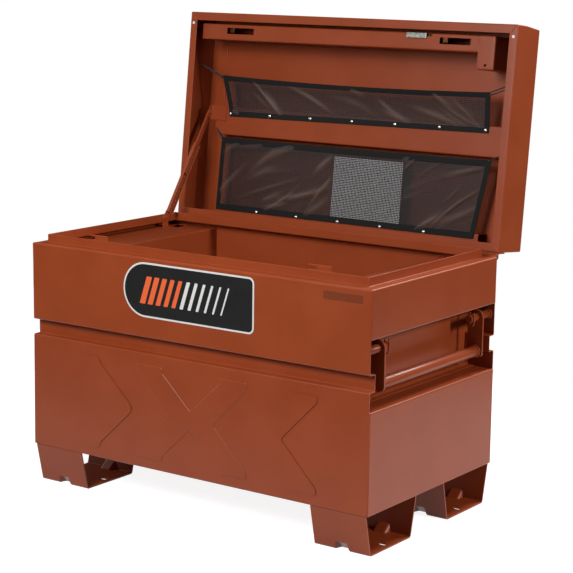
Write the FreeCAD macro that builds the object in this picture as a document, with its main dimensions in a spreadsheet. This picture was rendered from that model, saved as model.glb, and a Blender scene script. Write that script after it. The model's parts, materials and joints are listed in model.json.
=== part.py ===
"""Jobsite storage box: a folded steel tub on four channel feet, with a piano-hinged lid.

The lid stands open on its telescoping stay. Origin: centre of the footprint on the floor.
X runs along the width, Y towards the hinge side, Z up; lengths in millimetres.
"""

import FreeCAD, Part
import Sketcher

import math
import os
import re

SIZES = {
    # tub
    "width": 914.4,
    "depth": 508.0,
    "tub_height": 469.9,
    "gauge": 2.0,
    "return_width": 25.0,
    "ledge_width": 25.4,
    "lip_height": 19.0,
    "lip_gauge": 3.0,
    "groove_low": 260.0,
    "groove_high": 294.0,
    "groove_depth": 19.0,
    "recess_low": 218.0,
    "recess_high": 366.0,
    "apron_hem": 14.0,
    "recess_depth": 66.0,
    "recess_step": 6.0,
    "housing_depth": 137.0,
    "sill_width": 50.0,
    "sill_lap": 12.0,
    "roof_drop": 12.0,
    "roof_slot_length": 42.0,
    "roof_slot_width": 30.0,
    "roof_slot_lead": 10.0,
    # embossed chevrons on the front
    "chevron_arm": 71.0,
    "chevron_reach": 91.0,
    "chevron_nose": 14.0,
    "chevron_rise": 1.6,
    "chevron_flare": 55.0,
    "chevron_low": 24.0,
    "chevron_high": 233.0,
    "chevron_side": 12.0,
    "inner_chevron_end": 79.0,
    "outer_chevron_end": 258.0,
    # feet
    "foot_height": 88.9,
    "foot_length": 137.0,
    "foot_top": 198.0,
    "foot_lean": 20.0,
    "foot_gauge": 3.0,
    "foot_inset": 5.2,
    "foot_setback": 1.0,
    "slot_length": 20.0,
    "slot_width": 11.0,
    "slot_edge": 20.0,
    "gusset_width": 38.0,
    "gusset_rise": 19.0,
    "gusset_skin": 4.8,
    # hinge
    "knuckle_radius": 6.0,
    "knuckle_gap": 0.5,
    "hinge_pin_radius": 3.0,
    "hinge_clearance": 0.08,
    "leaf_gauge": 2.3,
    "leaf_height": 28.0,
    "hinge_drop": 1.9,
    # lid
    "open_angle": 96.1,
    "lid_inset": 3.2,
    "lid_height": 104.0,
    "rim_gap": 1.6,
    "rim_flange": 20.0,
    "front_straight": 45.0,
    "front_slope": 4.5,
    "end_strip": 44.0,
    "channel_start": 206.0,
    "channel_width": 71.0,
    "channel_face": 60.0,
    "channel_left_gap": 52.0,
    "channel_right_gap": 22.0,
    "lower_channel_width": 33.0,
    # lock housing in the lid
    "lock_width": 38.0,
    "lock_face": 12.0,
    "lock_left_gap": 26.0,
    "lip_clearance": 1.4,
    "vault_gap": 56.0,
    "vault_width": 44.0,
    "vault_length": 76.0,
    "vault_face": 10.0,
    "vault_hole_radius": 3.0,
    "vault_hole_edge": 10.0,
    "catch_spacing": 300.0,
    "tongue_width": 56.0,
    "tongue_gauge": 3.0,
    "tongue_reach": 15.6,
    "tongue_rise": 27.0,
    "tongue_web": 8.0,
    "notch_depth": 20.0,
    "notch_low": 16.0,
    "notch_height": 8.0,
    "catch_slot_lead": 48.0,
    "catch_slot_tail": 32.0,
    "catch_slot_side": 6.0,
    "latch_travel": 20.0,
    "latch_bar_height": 18.0,
    "latch_bar_gauge": 3.7,
    "latch_bar_lift": 4.0,
    "finger_width": 12.0,
    "finger_gauge": 4.0,
    "finger_gap": 2.0,
    "latch_play": 0.5,
    "lever_start": 165.0,
    "lever_width": 53.0,
    "lever_reach": 12.5,
    "lever_gauge": 3.0,
    "lever_neck": 33.0,
    # lid stay
    "stay_gap": 26.0,
    "stay_foot_reach": 74.0,
    "stay_foot_rise": 11.1,
    "stay_eye_start": 259.0,
    "stay_eye_depth": 60.0,
    "stay_width": 20.0,
    "stay_gauge": 2.0,
    "stay_flange": 9.0,
    "stay_outer_length": 205.0,
    "stay_inner_length": 176.0,
    "stay_bar_width": 13.0,
    "stay_bar_gauge": 5.0,
    "stay_end": 12.0,
    "stay_rivet_radius": 4.0,
    "stay_head_radius": 6.0,
    "stay_play": 0.5,
    "ear_reach": 18.0,
    # end handles
    "handle_inset": 19.2,
    "handle_height": 341.0,
    "handle_drop": 76.0,
    "handle_spread": 198.0,
    "arm_width": 38.0,
    "arm_gauge": 5.0,
    "grip_radius": 12.5,
    "pivot_radius": 9.25,
    "pivot_clearance": 0.08,
    "pivot_length": 84.0,
    "cotter_radius": 1.5,
    "cotter_length": 32.0,
    "cotter_edge": 6.0,
    # nets, card and plaque
    "net_margin": 86.0,
    "net_gauge": 2.0,
    "upper_net_start": 256.0,
    "upper_net_end": 352.0,
    "upper_net_lift": 14.0,
    "lower_net_start": 20.0,
    "lower_net_end": 200.0,
    "net_cord_radius": 1.5,
    "net_cord_rise": 26.0,
    "upper_rivets": 7,
    "lower_rivets": 5,
    "lower_rivet_shift": 15.0,
    "rivet_radius": 3.5,
    "rivet_height": 2.0,
    "rivet_seat": 0.3,
    "bumper_radius": 3.5,
    "bumper_height": 1.3,
    "card_width": 194.0,
    "card_height": 144.0,
    "card_offset": 58.0,
    "card_gauge": 0.6,
    "plaque_width": 354.0,
    "plaque_height": 121.0,
    "plaque_drop": 8.9,
    "plaque_offset": 10.0,
    "plaque_gauge": 0.8,
    "plaque_corner": 14.0,
}

document = FreeCAD.newDocument("StorageBox")
sheet = document.addObject("Spreadsheet::Sheet", "Sizes")
for row, (name, value) in enumerate(SIZES.items(), start=1):
    sheet.set(f"A{row}", name)
    sheet.set(f"B{row}", str(value))
    sheet.setAlias(f"B{row}", name)
document.recompute()

nodes = {}  # node name -> the object whose shape is written


# ---------------------------------------------------------------- helpers

def bind(text):
    """Turn 'depth/2 - gauge' into an expression that reads the sheet."""
    names = "|".join(sorted(SIZES, key=len, reverse=True))
    return re.sub(rf"\b({names})\b", r"<<Sizes>>.\1", str(text))


def keep(label, thing):
    """Label an object as a finished piece."""
    thing.Label = label
    nodes[label] = thing
    return thing


def place_x_turned(thing, base, angle):
    """Seat a piece at base (y, z expressions), turned about X by an angle expression."""
    turned = FreeCAD.Rotation(FreeCAD.Vector(1, 0, 0), 1)
    thing.Placement = FreeCAD.Placement(FreeCAD.Vector(), turned)
    thing.setExpression("Placement.Base.y", bind(base[0]))
    thing.setExpression("Placement.Base.z", bind(base[1]))
    thing.setExpression("Placement.Rotation.Angle", bind(angle))


def in_lid(thing):
    """Seat a piece drawn in the closed lid's hinge frame on the open lid."""
    place_x_turned(thing, (HINGE_Y, HINGE_Z), "-open_angle")
    return thing


def block(x, y, z):
    """Rectangular plate between (low, high) expressions on each axis."""
    box = document.addObject("Part::Box", "block")
    for axis, side, (low, high) in zip("xyz", ("Length", "Width", "Height"), (x, y, z)):
        box.setExpression(side, bind(f"({high})-({low})"))
        box.setExpression(f"Placement.Base.{axis}", bind(low))
    return box


TURNS = {
    "x": FreeCAD.Rotation(FreeCAD.Vector(0, 1, 0), 90),
    "y": FreeCAD.Rotation(FreeCAD.Vector(1, 0, 0), -90),
    "z": FreeCAD.Rotation(),
}


def rod(axis, start, radius, length):
    """Cylinder along +X, +Y or +Z from a start point of three expressions."""
    cylinder = document.addObject("Part::Cylinder", "rod")
    cylinder.Placement = FreeCAD.Placement(FreeCAD.Vector(), TURNS[axis])
    for letter, value in zip("xyz", start):
        cylinder.setExpression(f"Placement.Base.{letter}", bind(value))
    cylinder.setExpression("Radius", bind(radius))
    cylinder.setExpression("Height", bind(length))
    return cylinder


def fuse(*shapes):
    """Weld shapes into one solid."""
    if len(shapes) == 1:
        return shapes[0]
    joined = document.addObject("Part::MultiFuse", "fuse")
    joined.Shapes = list(shapes)
    joined.Refine = True
    return joined


def cut(base, *tools):
    """Take the tools out of a base shape."""
    result = document.addObject("Part::Cut", "cut")
    result.Base = base
    result.Tool = fuse(*tools)
    result.Refine = True
    return result


def group(*shapes):
    """Several separate solids kept together as one node."""
    gathered = document.addObject("Part::Compound", "group")
    gathered.Links = list(shapes)
    return gathered


def outline(body, role, points, offset="0"):
    """Closed sketch of straight lines on an origin plane, each corner bound to the sheet."""
    sketch = body.newObject("Sketcher::SketchObject", body.Name + "_sketch")
    plane = [feature for feature in body.Origin.OriginFeatures if feature.Role == role][0]
    sketch.AttachmentSupport = (plane, [""])
    sketch.MapMode = "FlatFace"
    if offset != "0":
        sketch.setExpression("AttachmentOffset.Base.z", bind(offset))
    count = len(points)
    first_guess = [
        FreeCAD.Vector(500 * math.cos(2 * math.pi * k / count), 500 * math.sin(2 * math.pi * k / count), 0)
        for k in range(count)
    ]
    for k in range(count):
        sketch.addGeometry(Part.LineSegment(first_guess[k], first_guess[(k + 1) % count]))
    for k in range(count):
        sketch.addConstraint(Sketcher.Constraint("Coincident", k, 2, (k + 1) % count, 1))
    for k, corner in enumerate(points):
        for kind, value, guess in zip(("DistanceX", "DistanceY"), corner, first_guess[k]):
            index = sketch.addConstraint(Sketcher.Constraint(kind, -1, 1, k, 1, guess))
            sketch.setExpression(f"Constraints[{index}]", bind(value))
    return sketch


def pad(body, sketch, length, taper=None, symmetric=True):
    """Grow a sketch into the body."""
    feature = body.newObject("PartDesign::Pad", body.Name + "_pad")
    feature.Profile = sketch
    if symmetric:
        feature.SideType = "Symmetric"
    feature.setExpression("Length", bind(length))
    if taper:
        feature.setExpression("TaperAngle", bind(taper))
    return feature


def pocket(body, sketch, length, symmetric=True):
    """Cut a sketch out of the body."""
    feature = body.newObject("PartDesign::Pocket", body.Name + "_pocket")
    feature.Profile = sketch
    if symmetric:
        feature.SideType = "Symmetric"
    feature.setExpression("Length", bind(length))
    return feature


def folded(label, role, points, length, offset="0"):
    """Sheet-metal piece: a bent outline carried along the plane's normal."""
    body = document.addObject("PartDesign::Body", label)
    pad(body, outline(body, role, points, offset), length)
    return body


def rectangle(x, y):
    """Corner expressions of a rectangle from two (low, high) pairs."""
    return [(x[0], y[0]), (x[1], y[0]), (x[1], y[1]), (x[0], y[1])]


# levels and frames that many pieces share
BASE = "foot_height"
TOP = "(foot_height + tub_height)"
ROOF = "(foot_height + tub_height - roof_drop)"
INSIDE_Y = "(depth/2 - gauge)"
HINGE_Y = "(depth/2 + knuckle_radius)"
HINGE_Z = "(foot_height + tub_height - hinge_drop)"
LID_DEPTH = "(depth - 2*lid_inset)"
LID_HALF = "(width/2 - lid_inset)"
LID_INSIDE = f"({LID_HALF} - gauge)"
CHANNEL_LEFT = f"({LID_INSIDE} - channel_left_gap)"
CHANNEL_RIGHT = f"({LID_INSIDE} - channel_right_gap)"
LOCK_LEFT = f"({LID_INSIDE} - lock_left_gap)"
LOCK_RIGHT = f"({LID_INSIDE} - vault_gap - vault_width)"
NET_HALF = f"({LID_INSIDE} - net_margin)"
STAY_SIDE = f"({LID_INSIDE} - stay_gap)"


def mirrored(side, low, high):
    """Span from low to high on the positive side, or its mirror image."""
    if side > 0:
        return low, high
    return f"-({high})", f"-({low})"


# ---------------------------------------------------------------- tub

def wall_points(side):
    """Front or back wall section: return, lower face, groove, upper face, ledge and lip."""
    corners = [
        ("depth/2 - return_width", BASE),
        ("depth/2", BASE),
        ("depth/2", f"{BASE} + groove_low"),
        ("depth/2 - groove_depth", f"{BASE} + groove_low"),
        ("depth/2 - groove_depth", f"{BASE} + groove_high"),
        ("depth/2", f"{BASE} + groove_high"),
        ("depth/2", TOP),
        ("depth/2 - ledge_width", TOP),
        ("depth/2 - ledge_width", f"{TOP} + lip_height"),
        ("depth/2 - ledge_width - lip_gauge", f"{TOP} + lip_height"),
        ("depth/2 - ledge_width - lip_gauge", f"{TOP} - gauge"),
        ("depth/2 - gauge", f"{TOP} - gauge"),
        ("depth/2 - gauge", f"{BASE} + groove_high + gauge"),
        ("depth/2 - groove_depth - gauge", f"{BASE} + groove_high + gauge"),
        ("depth/2 - groove_depth - gauge", f"{BASE} + groove_low - gauge"),
        ("depth/2 - gauge", f"{BASE} + groove_low - gauge"),
        ("depth/2 - gauge", f"{BASE} + gauge"),
        ("depth/2 - return_width", f"{BASE} + gauge"),
    ]
    return [(f"{side}*({y})", z) for y, z in corners]


def chevron_points(side, end):
    """Arrow-shaped emboss whose arms start at `end` from the middle and point inwards."""
    low, high = f"{BASE} + chevron_low", f"{BASE} + chevron_high"
    middle = f"{BASE} + (chevron_low + chevron_high)/2"
    corners = [
        (f"{end} + chevron_arm", high),
        (end, high),
        (end, f"{high} - chevron_side"),
        (f"{end} - chevron_reach", f"{middle} + chevron_nose/2"),
        (f"{end} - chevron_reach", f"{middle} - chevron_nose/2"),
        (end, f"{low} + chevron_side"),
        (end, low),
        (f"{end} + chevron_arm", low),
        (f"{end} + chevron_arm", f"{low} + chevron_side"),
        (f"{end} - chevron_reach + chevron_arm", middle),
        (f"{end} + chevron_arm", f"{high} - chevron_side"),
    ]
    return [(f"{side}*({x})", z) for x, z in corners]


def make_wall(label, side):
    """Front (side -1) or back (side 1) wall, its lip trimmed clear of the end lips."""
    body = folded(label, "YZ_Plane", wall_points(side), "width")
    for end in (-1, 1):
        spare = mirrored(end, "width/2 - ledge_width", "width/2 + ledge_width")
        above = (TOP, f"{TOP} + 2*lip_height")
        pocket(body, outline(body, "XZ_Plane", rectangle(spare, above)), "2*depth")
    return body


front = make_wall("front_panel", -1)
emboss = []
for side in (-1, 1):
    for end in ("inner_chevron_end", "outer_chevron_end"):
        body = document.addObject("PartDesign::Body", "chevron")
        raised = outline(body, "XZ_Plane", chevron_points(side, end), "depth/2")
        pad(body, raised, "chevron_rise", taper="-chevron_flare", symmetric=False)
        emboss.append(body)
keep("front_panel", fuse(front, *emboss))
keep("back_panel", make_wall("back_panel", 1))

for name, side in (("left", -1), ("right", 1)):
    x_face = mirrored(side, "width/2 - gauge", "width/2")
    y_span = (f"-{INSIDE_Y}", INSIDE_Y)
    apron = block(x_face, y_span, (f"{BASE} + recess_high", f"{TOP} - gauge"))
    hem = block(
        mirrored(side, "width/2 - apron_hem", "width/2 - gauge"),
        y_span,
        (f"{BASE} + recess_high", f"{BASE} + recess_high + gauge"),
    )
    lip_y = "(depth/2 - ledge_width - lip_gauge)"
    ledge = block(
        mirrored(side, "width/2 - ledge_width", "width/2"),
        (f"-{lip_y}", lip_y),
        (f"{TOP} - gauge", TOP),
    )
    lip = block(
        mirrored(side, "width/2 - ledge_width - lip_gauge", "width/2 - ledge_width"),
        (f"-{lip_y}", lip_y),
        (f"{TOP} - gauge", f"{TOP} + lip_height"),
    )
    keep(f"{name}_end_upper", fuse(apron, hem, ledge, lip))

    face = block(x_face, y_span, (f"{BASE} + gauge", f"{BASE} + recess_low"))
    sill = block(
        mirrored(side, "width/2 - sill_width - sill_lap", "width/2"),
        y_span,
        (f"{BASE} + recess_low - gauge", f"{BASE} + recess_low"),
    )
    return_y = "(depth/2 - return_width)"
    returned = block(
        mirrored(side, "width/2 - return_width", "width/2"),
        (f"-{return_y}", return_y),
        (BASE, f"{BASE} + gauge"),
    )
    keep(f"{name}_end_lower", fuse(face, sill, returned))

    # the handle housing: one folded pan, laid on the sill, that is the recess's floor and back
    # and, above a step over the opening, the deeper roof that carries the stay
    step = f"{BASE} + recess_high + recess_step"
    pan = [
        ("width/2 - sill_width", f"{BASE} + recess_low"),
        ("width/2 - sill_width", f"{BASE} + recess_low + gauge"),
        ("width/2 - recess_depth + gauge", f"{BASE} + recess_low + gauge"),
        ("width/2 - recess_depth + gauge", f"{step} + gauge"),
        ("width/2 - housing_depth + gauge", f"{step} + gauge"),
        ("width/2 - housing_depth + gauge", f"{ROOF} - gauge"),
        ("width/2 - gauge", f"{ROOF} - gauge"),
        ("width/2 - gauge", ROOF),
        ("width/2 - housing_depth", ROOF),
        ("width/2 - housing_depth", step),
        ("width/2 - recess_depth", step),
        ("width/2 - recess_depth", f"{BASE} + recess_low"),
    ]
    housing = folded(
        f"{name}_housing",
        "XZ_Plane",
        [(f"{side}*({x})", z) for x, z in pan],
        f"2*{INSIDE_Y}",
    )
    for end in (-1, 1):
        bulge = rectangle(
            mirrored(end, "depth/2 - groove_depth - gauge", "depth/2"),
            (f"{BASE} + groove_low - gauge", f"{BASE} + groove_high + gauge"),
        )
        pocket(housing, outline(housing, "YZ_Plane", bulge), "2*width")
    if side < 0:
        slot_start = f"({HINGE_Y} - stay_foot_reach + roof_slot_lead)"
        slot = rectangle(
            (f"-{STAY_SIDE} - gauge", f"-{STAY_SIDE} - gauge + roof_slot_width"),
            (slot_start, f"{slot_start} + roof_slot_length"),
        )
        cutter = outline(housing, "XY_Plane", slot, f"{ROOF} + gauge")
        pocket(housing, cutter, "3*gauge", symmetric=False)
    keep(f"{name}_housing", housing)

floor = block(
    ("-width/2 + gauge", "width/2 - gauge"),
    (f"-{INSIDE_Y}", INSIDE_Y),
    (f"{BASE} + gauge", f"{BASE} + 2*gauge"),
)
keep("floor_panel", floor)

# ---------------------------------------------------------------- feet

FOOT_MIDDLE = "(depth/2 - foot_setback - foot_top/2)"
FOOT_BOTTOM = "(foot_top/2 - foot_lean)"


def foot_points():
    """Leaning channel section, drawn about the foot's own middle."""
    outer = [
        ("-foot_top/2", BASE),
        (f"-{FOOT_BOTTOM}", "0"),
        (FOOT_BOTTOM, "0"),
        ("foot_top/2", BASE),
    ]
    inner = [
        ("foot_top/2 - foot_gauge", BASE),
        (f"{FOOT_BOTTOM} - foot_gauge", "foot_gauge"),
        (f"-{FOOT_BOTTOM} + foot_gauge", "foot_gauge"),
        ("-foot_top/2 + foot_gauge", BASE),
    ]
    return outer + inner


def gusset_points(bend, rise):
    """Triangle across one bottom bend, following the leaning wall for `rise`."""
    return [
        (f"{bend}*{FOOT_BOTTOM}", "0"),
        (f"{bend}*({FOOT_BOTTOM} - ({rise}))", "0"),
        (f"{bend}*({FOOT_BOTTOM} + foot_lean*({rise})/foot_height)", rise),
    ]


for name_x, side_x in (("left", -1), ("right", 1)):
    for name_y, side_y in (("front", -1), ("rear", 1)):
        middle_x = f"{side_x}*(width/2 - foot_inset - foot_length/2)"
        middle_y = f"{side_y}*{FOOT_MIDDLE}"

        def shifted(points):
            return [(f"{middle_y} + {y}", z) for y, z in points]

        channel = folded("foot", "YZ_Plane", shifted(foot_points()), "foot_length", middle_x)
        skins = []
        hollows = []
        for bend in (-1, 1):
            skin = shifted(gusset_points(bend, "(gusset_rise + gusset_skin)"))
            skins.append(folded("gusset", "YZ_Plane", skin, "gusset_width + 2*foot_gauge", middle_x))
            hollow = shifted(gusset_points(bend, "gusset_rise"))
            hollows.append(folded("gusset_hollow", "YZ_Plane", hollow, "gusset_width", middle_x))
        slots = []
        for end in (-1, 1):
            slot_x = f"({middle_x} + {end}*(foot_length/2 - slot_edge))"
            half = "(slot_length/2 - slot_width/2)"
            slots.append(
                block(
                    (f"{slot_x} - {half}", f"{slot_x} + {half}"),
                    (f"{middle_y} - slot_width/2", f"{middle_y} + slot_width/2"),
                    ("-foot_gauge", "2*foot_gauge"),
                )
            )
            for tip in (-1, 1):
                centre = (f"{slot_x} + {tip}*{half}", middle_y, "-foot_gauge")
                slots.append(rod("z", centre, "slot_width/2", "3*foot_gauge"))
        foot = cut(fuse(channel, *skins), *hollows, *slots)
        keep(f"{name_y}_{name_x}_foot", foot)

# ---------------------------------------------------------------- strikers on the front lip

LIP_INSIDE = "(depth/2 - ledge_width - lip_gauge)"
TONGUE_Y = f"({LIP_INSIDE} - tongue_reach)"

for name, side in (("left", -1), ("right", 1)):
    middle = f"({side}*catch_spacing)"
    x_span = (f"{middle} - tongue_width/2", f"{middle} + tongue_width/2")
    leg = block(
        x_span,
        (f"-{LIP_INSIDE}", f"-{LIP_INSIDE} + tongue_gauge"),
        (TOP, f"{TOP} + tongue_web"),
    )
    web = block(
        x_span,
        (f"-{LIP_INSIDE}", f"-{TONGUE_Y} + tongue_gauge"),
        (f"{TOP} + tongue_web - tongue_gauge", f"{TOP} + tongue_web"),
    )
    tongue = block(
        x_span,
        (f"-{TONGUE_Y}", f"-{TONGUE_Y} + tongue_gauge"),
        (f"{TOP} + tongue_web - tongue_gauge", f"{TOP} + tongue_rise"),
    )
    notch = block(
        (f"{middle} - tongue_width", f"{middle} - tongue_width/2 + notch_depth"),
        (f"-{TONGUE_Y} - tongue_gauge", f"-{TONGUE_Y} + 2*tongue_gauge"),
        (f"{TOP} + notch_low", f"{TOP} + notch_low + notch_height"),
    )
    keep(f"{name}_striker", cut(fuse(leg, web, tongue), notch))

# ---------------------------------------------------------------- piano hinge

KNUCKLES = 11
PITCH = f"((width - 2*lid_inset)/{KNUCKLES})"


def knuckle_span(index):
    """X span of one knuckle, with half the gap taken off each side."""
    start = f"-{LID_HALF} + {index}*{PITCH}"
    return f"{start} + knuckle_gap/2", f"{start} + {PITCH} - knuckle_gap/2"


def knuckle(index, y, z):
    """One barrel of the hinge about an axis at (y, z)."""
    low, high = knuckle_span(index)
    barrel = rod("x", (low, y, z), "knuckle_radius", f"({high})-({low})")
    return barrel


def hinge_bore(y, z):
    """The hole for the pin, right through every barrel."""
    return rod("x", (f"-{LID_HALF} - 1", y, z), "hinge_pin_radius + hinge_clearance", f"2*{LID_HALF} + 2")


plate_y = ("depth/2", "depth/2 + leaf_gauge")
plate = block(
    (f"-{LID_HALF}", LID_HALF),
    plate_y,
    (f"{HINGE_Z} - knuckle_radius - leaf_height", f"{HINGE_Z} - knuckle_radius - knuckle_gap"),
)
pieces = [plate]
for index in range(0, KNUCKLES, 2):
    tab = block(knuckle_span(index), plate_y, (f"{HINGE_Z} - 2*knuckle_radius", HINGE_Z))
    pieces += [tab, knuckle(index, HINGE_Y, HINGE_Z)]
keep("hinge_tub_leaf", cut(fuse(*pieces), hinge_bore(HINGE_Y, HINGE_Z)))
pin_start = (f"-{LID_HALF}", HINGE_Y, HINGE_Z)
keep("hinge_pin", rod("x", pin_start, "hinge_pin_radius", f"2*{LID_HALF}"))

# ---------------------------------------------------------------- lid, drawn closed about the hinge axis

RIM = "(hinge_drop + rim_gap)"


def forward(distance):
    """Y in the hinge frame of a point this far in front of the lid's back face."""
    return f"-(knuckle_radius + lid_inset + {distance})"


def into_lid(distance):
    """Z in the hinge frame of a point this deep behind the rim."""
    return f"({RIM} + {distance})"


def lid_block(x, start, end, low, high):
    """Plate in the lid: x span, distances from the back face, depths behind the rim."""
    return block(x, (forward(end), forward(start)), (into_lid(low), into_lid(high)))


shell_points = [
    (forward(f"{LID_DEPTH} - rim_flange"), RIM),
    (forward(LID_DEPTH), RIM),
    (forward(LID_DEPTH), into_lid("front_straight")),
    (forward(f"{LID_DEPTH} - front_slope"), into_lid("lid_height")),
    (forward("0"), into_lid("lid_height")),
    (forward("0"), RIM),
    (forward("rim_flange"), RIM),
    (forward("rim_flange"), into_lid("gauge")),
    (forward("gauge"), into_lid("gauge")),
    (forward("gauge"), into_lid("lid_height - gauge")),
    (forward(f"{LID_DEPTH} - front_slope - gauge"), into_lid("lid_height - gauge")),
    (forward(f"{LID_DEPTH} - gauge"), into_lid("front_straight")),
    (forward(f"{LID_DEPTH} - gauge"), into_lid("gauge")),
    (forward(f"{LID_DEPTH} - rim_flange"), into_lid("gauge")),
]
keep("lid_shell", in_lid(folded("lid_shell", "YZ_Plane", shell_points, f"2*{LID_INSIDE}")))

end_points = [
    (forward("0"), RIM),
    (forward(LID_DEPTH), RIM),
    (forward(LID_DEPTH), into_lid("front_straight")),
    (forward(f"{LID_DEPTH} - front_slope"), into_lid("lid_height")),
    (forward("0"), into_lid("lid_height")),
]
for name, side in (("left", -1), ("right", 1)):
    cheek = folded("cheek", "YZ_Plane", end_points, "gauge", f"{side}*({LID_HALF} - gauge/2)")
    flange = lid_block(
        mirrored(side, f"{LID_HALF} - rim_flange", f"{LID_HALF} - gauge/2"),
        "rim_flange",
        f"{LID_DEPTH} - rim_flange",
        "0",
        "gauge",
    )
    strip = lid_block(
        mirrored(side, f"{LID_INSIDE} - end_strip", f"{LID_INSIDE} + gauge/2"),
        "lower_channel_width + gauge",
        f"{LID_DEPTH} - vault_length - lid_inset",
        "lid_height - 2*gauge",
        "lid_height - gauge",
    )
    keep(f"{name}_lid_end", in_lid(fuse(cheek, flange, strip)))

# stiffening channels that carry the nets
channel_end = "channel_start + channel_width"
channel_points = [
    (forward("channel_start"), into_lid("lid_height - gauge")),
    (forward("channel_start"), into_lid("channel_face")),
    (forward(channel_end), into_lid("channel_face")),
    (forward(channel_end), into_lid("lid_height - gauge")),
    (forward(f"{channel_end} - gauge"), into_lid("lid_height - gauge")),
    (forward(f"{channel_end} - gauge"), into_lid("channel_face + gauge")),
    (forward("channel_start + gauge"), into_lid("channel_face + gauge")),
    (forward("channel_start + gauge"), into_lid("lid_height - gauge")),
]
channel = folded(
    "stiffener",
    "YZ_Plane",
    channel_points,
    f"{CHANNEL_LEFT} + {CHANNEL_RIGHT}",
    f"({CHANNEL_RIGHT} - {CHANNEL_LEFT})/2",
)
step_over_strip = lid_block(
    (f"{LID_INSIDE} - end_strip", LID_INSIDE),
    "channel_start - gauge",
    f"{channel_end} + gauge",
    "lid_height - 2*gauge",
    "lid_height",
)
keep("lid_middle_channel", in_lid(cut(channel, step_over_strip)))

lower_points = [
    (forward("gauge"), into_lid("channel_face")),
    (forward("lower_channel_width"), into_lid("channel_face")),
    (forward("lower_channel_width"), into_lid("lid_height - gauge")),
    (forward("lower_channel_width - gauge"), into_lid("lid_height - gauge")),
    (forward("lower_channel_width - gauge"), into_lid("channel_face + gauge")),
    (forward("gauge"), into_lid("channel_face + gauge")),
]
lower = folded("lower_stiffener", "YZ_Plane", lower_points, f"2*{NET_HALF}")
keep("lid_lower_channel", in_lid(lower))

# ---------------------------------------------------------------- lock housing and latch

LOCK_FRONT = f"({LID_DEPTH} + lid_inset - ledge_width - lip_gauge - lip_clearance)"
LOCK_BACK = f"({LOCK_FRONT} - lock_width)"
# where a striker's tongue stands in the closed lid, measured from the lid's back face
TONGUE_FROM_BACK = f"(depth/2 - lid_inset + {TONGUE_Y})"
LEG_INSIDE = f"({LOCK_FRONT} - gauge)"
BAR_FRONT = f"({LEG_INSIDE} - latch_play)"
BAR_BACK = f"({BAR_FRONT} - latch_bar_gauge)"
BAR_LOW = "lock_face + latch_bar_lift"

lock_points = [
    (forward(LOCK_BACK), into_lid("lid_height - gauge")),
    (forward(LOCK_BACK), into_lid("lock_face")),
    (forward(LOCK_FRONT), into_lid("lock_face")),
    (forward(LOCK_FRONT), into_lid("lid_height - gauge")),
    (forward(LEG_INSIDE), into_lid("lid_height - gauge")),
    (forward(LEG_INSIDE), into_lid("lock_face + gauge")),
    (forward(f"{LOCK_BACK} + gauge"), into_lid("lock_face + gauge")),
    (forward(f"{LOCK_BACK} + gauge"), into_lid("lid_height - gauge")),
]
rail = folded(
    "lock_rail",
    "YZ_Plane",
    lock_points,
    f"{LOCK_LEFT} + {LOCK_RIGHT}",
    f"({LOCK_RIGHT} - {LOCK_LEFT})/2",
)
rail_end = lid_block(
    (f"-{LOCK_LEFT}", f"-{LOCK_LEFT} + gauge"),
    LOCK_BACK,
    LOCK_FRONT,
    "lock_face",
    "lid_height - gauge",
)
openings = []
for side in (-1, 1):
    middle = f"({side}*catch_spacing)"
    openings.append(
        lid_block(
            (f"{middle} - catch_slot_lead", f"{middle} + catch_slot_tail"),
            f"{TONGUE_FROM_BACK} - tongue_gauge - catch_slot_side",
            f"{TONGUE_FROM_BACK} + catch_slot_side",
            "0",
            "lock_face + 2*gauge",
        )
    )
neck_start = "(lever_start + (lever_width - lever_neck)/2)"
openings.append(
    lid_block(
        (f"{neck_start} - 2*gauge", f"{neck_start} + lever_neck + latch_travel + 2*gauge"),
        f"{BAR_BACK} - 1",
        LEG_INSIDE,
        "0",
        "lock_face + 2*gauge",
    )
)
keep("lock_channel", in_lid(cut(fuse(rail, rail_end), *openings)))

vault_x = (LOCK_RIGHT, f"{LOCK_RIGHT} + vault_width")
vault_back = f"({LOCK_FRONT} - vault_length)"
vault = lid_block(vault_x, vault_back, LOCK_FRONT, "vault_face", "lid_height - gauge")
vault_hollow = lid_block(
    (f"{LOCK_RIGHT} + gauge", f"{LOCK_RIGHT} + vault_width - gauge"),
    f"{vault_back} + gauge",
    f"{LOCK_FRONT} - gauge",
    "vault_face + gauge",
    "lid_height + gauge",
)
vault_hole = rod(
    "z",
    (
        f"{LOCK_RIGHT} + vault_width/2",
        forward(f"{vault_back} + vault_hole_edge"),
        into_lid("0"),
    ),
    "vault_hole_radius",
    "vault_face + 3*gauge",
)
keep("vault_cover", in_lid(cut(vault, vault_hollow, vault_hole)))

bar_parts = [
    lid_block(
        ("-catch_spacing - catch_slot_lead", "catch_spacing + catch_slot_tail - latch_travel"),
        BAR_BACK,
        BAR_FRONT,
        BAR_LOW,
        f"{BAR_LOW} + latch_bar_height",
    )
]
for side in (-1, 1):
    tip = f"({side}*catch_spacing - tongue_width/2 - finger_gap)"
    bar_parts.append(
        lid_block(
            (f"{tip} - finger_width", tip),
            f"{TONGUE_FROM_BACK} - 2*tongue_gauge",
            f"{BAR_BACK} + gauge/2",
            BAR_LOW,
            f"{BAR_LOW} + finger_gauge",
        )
    )
keep("latch_bar", in_lid(fuse(*bar_parts)))

lever = lid_block(
    ("lever_start", "lever_start + lever_width"),
    f"{LOCK_FRONT} - lever_reach",
    f"{LOCK_FRONT} + latch_play",
    "lock_face - latch_play - lever_gauge",
    "lock_face - latch_play",
)
neck = lid_block(
    (neck_start, f"{neck_start} + lever_neck"),
    BAR_BACK,
    BAR_FRONT,
    "lock_face - latch_play - lever_gauge/2",
    BAR_LOW,
)
keep("latch_lever", in_lid(fuse(lever, neck)))

# ---------------------------------------------------------------- lid half of the hinge

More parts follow.
